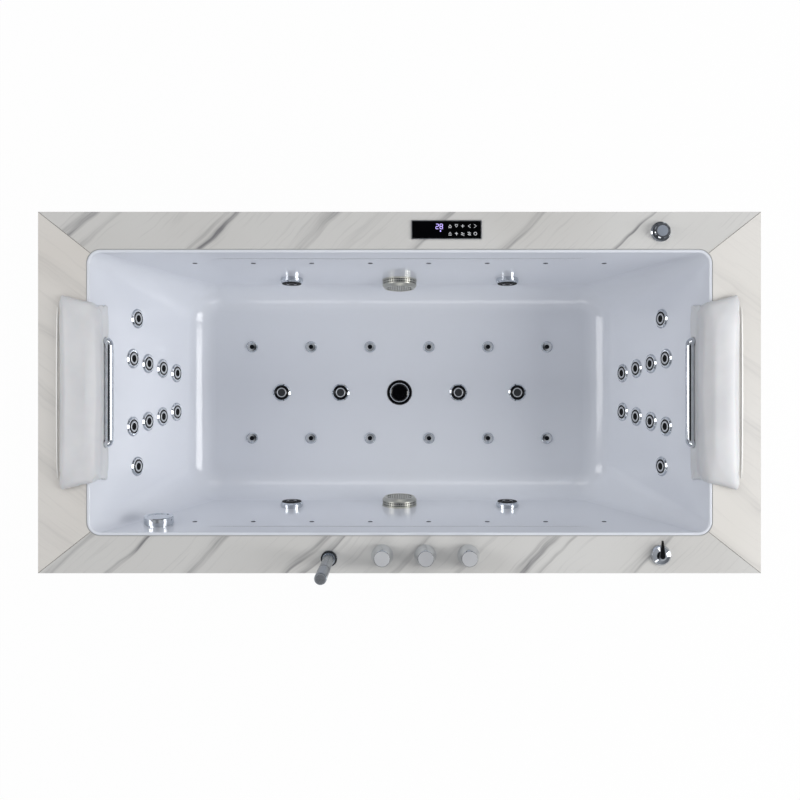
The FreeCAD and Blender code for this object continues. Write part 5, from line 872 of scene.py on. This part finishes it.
plate = [(0, 0.8849), (12.2 * MM, 0.8849), (12.0 * MM, 0.8857), (0, 0.8857)]
for name, profile, steps, finish in (
        ("spray_head_sleeve", band_profile(12.8, 13.9, 0.786, 0.880), 64, head_metal),
        ("spray_joint_ring", band_profile(12.8, 13.7, 0.779, 0.7855), 64, ring_rubber),
        ("spray_plate", plate, 48, plate_grey)):
    finish_mesh(name, turned(profile, stick, steps), finish, "hand_shower", smooth=False)
nub_mesh = bpy.data.meshes.new("nozzle_nub")
shape = bmesh.new()
bmesh.ops.create_cone(shape, segments=8, radius1=0.75 * MM, radius2=0.45 * MM, depth=1.2 * MM, cap_ends=True)
shape.to_mesh(nub_mesh)
shape.free()
nub = bpy.data.objects.new("nozzle_nub", nub_mesh)
shape = bmesh.new()
for count, radius in ((3, 1.4), (6, 3.6), (12, 6.2), (16, 8.8)):
    shape.from_mesh(run_tree(circle, item=nub, count=count, radius=radius * MM, finish=nozzle_rubber))
bpy.data.objects.remove(nub)
bmesh.ops.translate(shape, verts=shape.verts, vec=(*SHOWER, 0.8861))
finish_mesh("spray_nozzles", shape, nozzle_rubber, "hand_shower", smooth=False)
shape = bmesh.new()
for radius in (19.2, 16.9):
    section = [((radius + 0.7 * math.cos(a * math.pi / 4)) * MM,
                0.6144 + 0.7 * MM * math.sin(a * math.pi / 4)) for a in range(8)]
    turned(section, stick, 64, shape)
finish_mesh("shower_collar_rings", shape, ring_rubber, "tub")
print("hand shower pieces: 5")

# %% [markdown]
# ## Side jets
# A side jet is a chrome ring round a wide mouth, in which the nozzle ball
# sits. A thin cone of black, with almost no reflection, lines the ring's inside:
# it is painted shade of the mouth's hollow.

# %% Linings of the side jets
# Near-black and almost without reflection: painted shade, for the side jets' mouths and the end jets' open
# eyes.
painted_shade_black = moulded("black_painted_mouth_shade", "#070707", "#050505", 0.55, 1, 0.02,
                     **{"Specular IOR Level": 0.12})
SIDE_JET_X, SIDE_JET_DEPTH = 0.300, 0.297       # from the middle, and below the rim
LINING = [(20.3, 6.3), (27.0, 15.0), (27.0, 15.6), (26.6, 15.9), (18.0, 15.9), (17.5, 15.4), (20.2, 6.5)]
for jet, (side, end) in zip(JETS, ((-1, -1), (-1, 1), (1, -1), (1, 1))):
    seat = long_wall(side, end * SIDE_JET_X, SIDE_JET_DEPTH)
    finish_mesh("jet_lining_" + jet, turned([(r * MM, z * MM) for r, z in LINING], seat, 48), painted_shade_black,
                "jet_ring_" + jet, smooth=False)
print("jet linings: 4")

# %% [markdown]
# ## Mouths of the small jets
# The twenty jets in the end walls and the four in the floor share one nozzle: a
# rounded ring about a dark eye. The ring's pale colour is a painted highlight of
# its bright lip. On the end walls the eye is an open hole, and a black disc in it
# is painted shade; in the floor it is a grey grid. The jets of an end wall
# stand in two slanting rows of four with one more jet outside each row.

# %% Rings and eyes of the small jets
# The rings' pale, half-metallic colour is a painted highlight of the nozzles' chrome lips.
highlight_ring = moulded("nozzle_ring_painted_highlight", "#D8DADD", "#CBCDD1", 0.3, 2, 0.02, metallic=0.45)
grid_grey = moulded("grey_nozzle_grid", "#2E3033", "#26282B", 0.45, 1, 0.05)


def end_wall(side, y, depth):
    """A place on the right (side 1) or left (side -1) end wall, as a fitting's matrix."""
    angle = math.atan(END_RUN)
    return wall_frame(Vector((side * (MOUTH_X - depth * END_RUN), y, DECK_TOP - depth)),
                      (-side * math.cos(angle), 0, math.sin(angle)))


def jet_mouths(name, seats, inner, outer, eye_finish):
    """One mesh of rings and one of eyes, on all the seats."""
    middle, half = (inner + outer) / 2, (outer - inner) / 2
    ring = [((middle + half * math.cos(k * math.pi / 4)) * MM, (4.6 + 0.9 * math.sin(k * math.pi / 4)) * MM)
            for k in range(8)]
    eye = [(0, 4.45 * MM), ((inner + 0.4) * MM, 4.45 * MM), ((inner + 0.4) * MM, 4.75 * MM), (0, 4.75 * MM)]
    for part, profile, finish, smooth in (("rings", ring, highlight_ring, True),
                                          ("eyes", eye, eye_finish, False)):
        shape = bmesh.new()
        for seat in seats:
            turned(profile, seat, 32, shape)
        finish_mesh(name + "_" + part, shape, finish, "tub", smooth=smooth)


ROW_Y, ROW_DEPTH = 0.090, 0.163         # the top jet of a slanting row
STEP_Y, STEP_DEPTH = 0.0117, 0.0623     # from one jet of a row to the next
OUTER_Y, OUTER_DEPTH = 0.197, 0.181     # the jet outside a row
FLOOR_STEP = 0.173                      # from one jet in the floor to the next
end_seats = []
for side in (-1, 1):
    for half in (-1, 1):
        end_seats += [end_wall(side, half * (ROW_Y - STEP_Y * step), ROW_DEPTH + STEP_DEPTH * step)
                      for step in range(4)]
        end_seats.append(end_wall(side, half * OUTER_Y, OUTER_DEPTH))
# The end jets' eyes are black discs: painted shade of their open holes.
jet_mouths("end_jet", end_seats, 9.6, 14.2, painted_shade_black)
floor_seats = [Matrix.Translation((x * FLOOR_STEP, 0, FLOOR_Z)) for x in (-2, -1, 1, 2)]
jet_mouths("floor_jet", floor_seats, 11.0, 14.0, grid_grey)
print("small jets:", len(end_seats) + len(floor_seats))

# %% [markdown]
# ## Touch panel
# Behind the black glass an electronic display shows two digits, and ten keys are
# printed in white. The digits are seven-segment bars, as on any clock. The keys
# are plain line drawings: arrows, a cross, waves and a ring. All are flat strokes
# 0.3 mm thick on the glass, because a stroke made of geometry stays sharp at any
# zoom.

# %% Display and keys
GLASS = 0.6031                          # the strokes' underside, just above the glass
PANEL_X = 0.117                         # the panel's middle
glow, tree, skin, place = new_finish("violet_display_light", 0.4, 0.0, "#C9B8FF",
                                     **{"Emission Color": rgb("#B79CFF"), "Emission Strength": 1.15})
flicker = ramp(tree, noise(tree, place, 900.0), [(0.35, "#A98CFF"), (0.65, "#D9CEFF")])
tree.links.new(flicker, skin.inputs["Emission Color"])
print_grey = moulded("printed_key_white", "#F4F5F7", "#E6E8EB", 0.4, 0.5, 0.01)


def stroke(shape, points, width, closed=False):
    """A flat line through (x, y) points in millimetres from the panel's middle."""
    points = [Vector((PANEL_X + x * MM, TAP_ROW + y * MM)) for x, y in points]
    last = len(points) - 1
    left, right = [], []
    for k, point in enumerate(points):
        before = points[k - 1] if k or closed else point
        after = points[(k + 1) % len(points)] if k < last or closed else point
        run = (after - before).normalized()
        left.append(point + Vector((-run.y, run.x)) * width * MM / 2)
        right.append(point - Vector((-run.y, run.x)) * width * MM / 2)
    high = GLASS + 0.3 * MM
    rows = [[shape.verts.new(corner) for corner in ((*a, GLASS), (*b, GLASS), (*b, high), (*a, high))]
            for a, b in zip(left, right)]
    for near, far in zip(rows, rows[1:] + (rows[:1] if closed else [])):
        for k in range(4):
            shape.faces.new((near[k], near[(k + 1) % 4], far[(k + 1) % 4], far[k]))
    if not closed:
        shape.faces.new(rows[0])
        shape.faces.new(rows[-1])


def arc(x, y, radius, start=0, end=360, steps=20):
    """Points on a circle."""
    turns = steps if end - start == 360 else steps + 1
    return [(x + radius * math.cos(math.radians(start + (end - start) * k / steps)),
             y + radius * math.sin(math.radians(start + (end - start) * k / steps))) for k in range(turns)]


SEGMENTS = {"top": [(0.6, 12), (5.4, 12)], "middle": [(0.6, 6), (5.4, 6)], "bottom": [(0.6, 0), (5.4, 0)],
            "high_left": [(0, 11.4), (0, 6.6)], "high_right": [(6, 11.4), (6, 6.6)],
            "low_left": [(0, 5.4), (0, 0.6)], "low_right": [(6, 5.4), (6, 0.6)]}
DIGITS = ((-26.5, ("top", "high_right", "middle", "low_left", "bottom")),
          (-16.5, ("top", "high_left", "high_right", "middle", "low_left", "low_right", "bottom")))
shape = bmesh.new()
for start, lit in DIGITS:
    for segment in lit:
        stroke(shape, [(start + x * 1.1, 2 + y) for x, y in SEGMENTS[segment]], 1.15)
stroke(shape, arc(-15.0, -3.4, 0.9, steps=10), 1.4, closed=True)
finish_mesh("display_digits", shape, glow, "tub", smooth=False)

shape = bmesh.new()
KEY_X, KEY_Y = (8.7, 24.7, 40.1, 56.6, 71.7), (9.0, -10.0)
top, low = KEY_Y
stroke(shape, arc(KEY_X[4], low, 3.6), 1.2, closed=True)
SYMBOLS = (
    (KEY_X[0], top, [(-3.6, -2), (0, 3), (3.6, -2)]), (KEY_X[0], top, [(-3.6, -4), (3.6, -4)]),
    (KEY_X[1], top, [(-3.6, 2), (0, -3), (3.6, 2)]), (KEY_X[1], top, [(-3.6, 4), (3.6, 4)]),
    (KEY_X[2], top, [(0, -4), (0, 4)]), (KEY_X[2], top, [(-4, 0), (4, 0)]),
    (KEY_X[3], top, [(3, 4), (-3, 0), (3, -4)]), (KEY_X[4], top, [(-3, 4), (3, 0), (-3, -4)]),
    (KEY_X[0], low, [(-4, -3.6), (4, -3.6)]), (KEY_X[0], low, [(-3, -1), (0, 4), (3, -1)]),
    (KEY_X[1], low, [(0, 4), (0, -4)]), (KEY_X[1], low, [(-3.4, 1.4), (0, -2), (3.4, 1.4)]),
    (KEY_X[2], low, [(-4, 1), (-2, 3), (0, 1), (2, -1), (4, 1)]),
    (KEY_X[2], low, [(-4, -3), (-2, -1), (0, -3), (2, -5), (4, -3)]),
    (KEY_X[3], low, [(-4, 4), (4, -4)]), (KEY_X[3], low, [(-1, 4), (4, 1)]),
    (KEY_X[3], low, [(-4, -1), (1, -4)]))
for x, y, points in SYMBOLS:
    stroke(shape, [(x + dx, y + dy) for dx, dy in points], 1.2)
finish_mesh("key_symbols", shape, print_grey, "tub", smooth=False)
print("display digits: 2, keys:", len(KEY_X) * len(KEY_Y))

# %% [markdown]
# ## Joints in the deck
# Each corner of the deck is a mitre: two boards cut at an angle, with a thin
# line of grey grout between them. A bead of silicone seals the boards against the
# basin; its grey is partly its own and partly painted shadow of the gap there. A
# dark strip lies in the long wall's groove as painted shade of the groove. They are
# thin, but the eye uses them to read the deck as four boards.

# %% Grout, sealant and groove strips
grout = moulded("grey_grout", "#77756F", "#68665F", 0.75, 0.8, 0.1)
# The bead's grey is partly the silicone's own and partly painted shadow of the gap between the boards and the
# basin.
sealant_and_gap_shadow = moulded("grey_silicone_gap_shadow", "#B2B2B0", "#A5A5A3", 0.35, 3, 0.05)
# A dark strip in the long walls' groove: painted shade of the groove.
groove_shade_finish = moulded("groove_painted_shade", "#4A4C50", "#3E4044", 0.5, 1, 0.04)
shape = bmesh.new()
for sx in (-1, 1):
    for sy in (-1, 1):
        outer_end = Vector((sx * (DECK_X - 0.5 * MM), sy * (DECK_Y - 0.5 * MM)))
        inner_end = Vector((sx * (MOUTH_X - 1.2 * MM), sy * (MOUTH_Y - 1.2 * MM)))
        across = Vector((-(inner_end - outer_end).y, (inner_end - outer_end).x)).normalized() * 0.6 * MM
        slab([tuple(outer_end + across), tuple(inner_end + across), tuple(inner_end - across),
              tuple(outer_end - across)], DECK_TOP - 0.6 * MM, DECK_TOP + 0.15 * MM, shape)
finish_mesh("mitre_grout", shape, grout, "tub", smooth=False)


def rounded_outline(half_x, half_y, radius, steps=10):
    """A rectangle with round corners."""
    points = []
    for number, (cx, cy) in enumerate(((1, 1), (-1, 1), (-1, -1), (1, -1))):
        for step in range(steps + 1):
            angle = math.pi / 2 * (number + step / steps)
            points.append((cx * (half_x - radius) + radius * math.cos(angle),
                           cy * (half_y - radius) + radius * math.sin(angle)))
    return points


rings = []
for inset, height in ((0, -0.4), (0, 0.1), (0.5, 0.5), (1.3, 0.5), (1.8, 0.1), (1.8, -0.4)):
    outline = rounded_outline(OPENING_X + (0.6 - inset) * MM, OPENING_Y + (0.6 - inset) * MM,
                              (35.5 - inset) * MM)
    rings.append([(x, y, DECK_TOP + height * MM) for x, y in outline])
shape = loft(rings + rings[:1], closed=False)
# Partly painted shadow: the grey bead darkens the joint at the rim.
finish_mesh("sealant_bead", shape, sealant_and_gap_shadow, "tub")

GROOVE_DEPTH = 0.066                    # below the rim
GROOVE_HALF, GROOVE_TIP = 0.490, 0.045  # half the groove, and its tapered end
shape = bmesh.new()
for side in (-1, 1):
    seat = long_wall(side, 0, GROOVE_DEPTH)
    along = seat.to_3x3().inverted() @ Vector((1, 0, 0))
    over = Vector((0, 0, 1)).cross(along)
    rings = []
    for x in [-0.486 + 0.972 * k / 40 for k in range(41)]:
        half = 1.3 * MM * min(1.0, (GROOVE_HALF - abs(x)) / GROOVE_TIP)
        rings.append([seat @ (along * x + over * w * half + Vector((0, 0, h * MM)))
                      for w, h in ((-1, -1.9), (1, -1.9), (1, -0.5), (0, -0.15), (-1, -0.5))])
    loft(rings, shape=shape)
# The dark strips lie in the groove as painted shade.
finish_mesh("groove_strips", shape, groove_shade_finish, "tub", smooth=False)
print("joint pieces: 3")

# %% [markdown]
# ## Floor, light and camera
# A product photograph of this kind is taken from straight above on white. The
# floor is a pale plane. To the camera it is nearly white, and it still takes the
# bathtub's soft shadow, because the camera sees a mix of a plain white glow and
# the lit floor. Mirrors see the same white, so that chrome doesn't turn grey.

# %% Floor
WHITE_SHARE = 0.97                      # the rest of what a camera sees is the lit floor
FLOOR_HALF = 6
paper, tree, skin, place = new_finish("pale_studio_floor", 0.85, 0.0, "#E9E9E8")
paint(tree, skin, ramp(tree, noise(tree, place, 60.0), [(0.3, "#E8E8E7"), (0.7, "#EBEBEA")]))
rays = add(tree, "ShaderNodeLightPath").outputs
direct = math_node(tree, "MAXIMUM", rays["Is Camera Ray"], rays["Is Glossy Ray"])
seen = math_node(tree, "MAXIMUM", direct, rays["Is Transmission Ray"])
share = math_node(tree, "MULTIPLY", seen, WHITE_SHARE)
white = add(tree, "ShaderNodeEmission", {"Color": (1, 1, 1, 1), "Strength": 1.0})
both = add(tree, "ShaderNodeMixShader", {0: share, 1: skin.outputs[0], 2: white.outputs[0]})
output = next(node for node in tree.nodes if node.type == "OUTPUT_MATERIAL")
tree.links.new(both.outputs[0], output.inputs["Surface"])
corners = [(x * FLOOR_HALF, y * FLOOR_HALF) for x, y in ((-1, -1), (1, -1), (1, 1), (-1, 1))]
floor = finish_mesh("studio_floor", slab(corners, -0.02, -0.0005), paper, smooth=False)
floor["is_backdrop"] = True
print("floor ready")

# %% [markdown]
# ## Light
# Four soft boxes stand round the bathtub at 30 to 45 degrees, the right one the
# strongest, as the left end wall is the brightest in the picture. None hangs
# overhead, and the world is dark straight above: a flat chrome face looks back at
# the camera's own dark place, which is why flat metal looks black in a picture
# from above while domes sparkle. Cameras see the world as white.

# %% World and lamps
world = bpy.data.worlds.new("studio_room")
scene.world = world
world.use_nodes = True
tree = world.node_tree
tree.nodes.clear()
place = add(tree, "ShaderNodeTexCoord").outputs["Generated"]
height = add(tree, "ShaderNodeSeparateXYZ", {0: place}).outputs["Z"]
room = ramp(tree, spread(tree, height, -1.0, 1.0, 0.0, 1.0), [
    (0.0, "#C9CACC"), (0.42, "#6B6D70"), (0.56, "#5C5E62"), (0.70, "#B9BCC2"), (0.90, "#D9DBDF"),
    (0.955, "#DDDFE3"), (0.985, "#202226"), (1.0, "#1A1C20")])
air = add(tree, "ShaderNodeBackground", {"Color": room, "Strength": 0.66})
rays = add(tree, "ShaderNodeLightPath")
plain = add(tree, "ShaderNodeBackground", {"Color": (1, 1, 1, 1), "Strength": 1.0})
sky = add(tree, "ShaderNodeMixShader", {0: rays.outputs["Is Camera Ray"], 1: air.outputs[0],
                                        2: plain.outputs[0]})
add(tree, "ShaderNodeOutputWorld", {"Surface": sky.outputs[0]})


def soft_box(name, place, aim, size, power):
    """A rectangular lamp at a place, facing an aim point."""
    lamp = bpy.data.lights.new(name, "AREA")
    lamp.shape, lamp.size, lamp.size_y, lamp.energy = "RECTANGLE", size[0], size[1], power
    box = bpy.data.objects.new(name, lamp)
    box.matrix_world = (Matrix.Translation(place)
                        @ (Vector(aim) - Vector(place)).to_track_quat("-Z", "Y").to_matrix().to_4x4())
    scene.collection.objects.link(box)


soft_box("right_box", (3.5, -0.3, 2.35), (0.0, 0.0, 0.3), (1.6, 2.6), 96)
soft_box("left_box", (-3.3, 0.4, 2.6), (0.0, 0.0, 0.3), (1.4, 2.2), 42)
soft_box("back_box", (0.2, 2.9, 3.1), (0.1, 0.0, 0.4), (2.8, 1.2), 21)
soft_box("front_box", (0.3, -3.0, 3.0), (0.0, 0.0, 0.4), (2.8, 1.2), 24)

# %% [markdown]
# ## Camera
# The picture looks straight down at the middle of the deck from about 2.5 m
# above it: the hand shower, which stands 285 mm tall, leans outwards by as much
# as that height gives. A lens of 45 mm then shows the 1.8 m deck across 723 of
# the picture's 800 pixels, and a small shift puts it a little above the middle.

# %% Camera and view
CAMERA_HEIGHT = 2.5                       # above the deck's top
PIXEL = 2.49 * MM                         # one picture pixel on the deck
PICTURE = 800                             # the picture's pixels each way
camera = bpy.data.cameras.new("overhead_camera")
camera.sensor_width = 36.0
camera.lens = 36.0 * CAMERA_HEIGHT / (PICTURE * PIXEL)
camera.shift_x, camera.shift_y = 0.5 / PICTURE, -7.5 / PICTURE
camera.clip_start, camera.clip_end = 0.1, 100
eye = bpy.data.objects.new("overhead_camera", camera)
eye.location = (0, 0, DECK_TOP + CAMERA_HEIGHT)
scene.collection.objects.link(eye)
scene.camera = eye
scene.view_settings.view_transform = "Standard"
print("lens:", round(camera.lens, 2), "mm")

# %% [markdown]
# ## Sizes
# The box round the finished model, with its finishes and modelled pieces and
# without the floor, is printed, to show the bathtub's size.

# %% Print the finished model's box
low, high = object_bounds()
print("visual box:", [round(v, 4) for v in (*low, *high)])
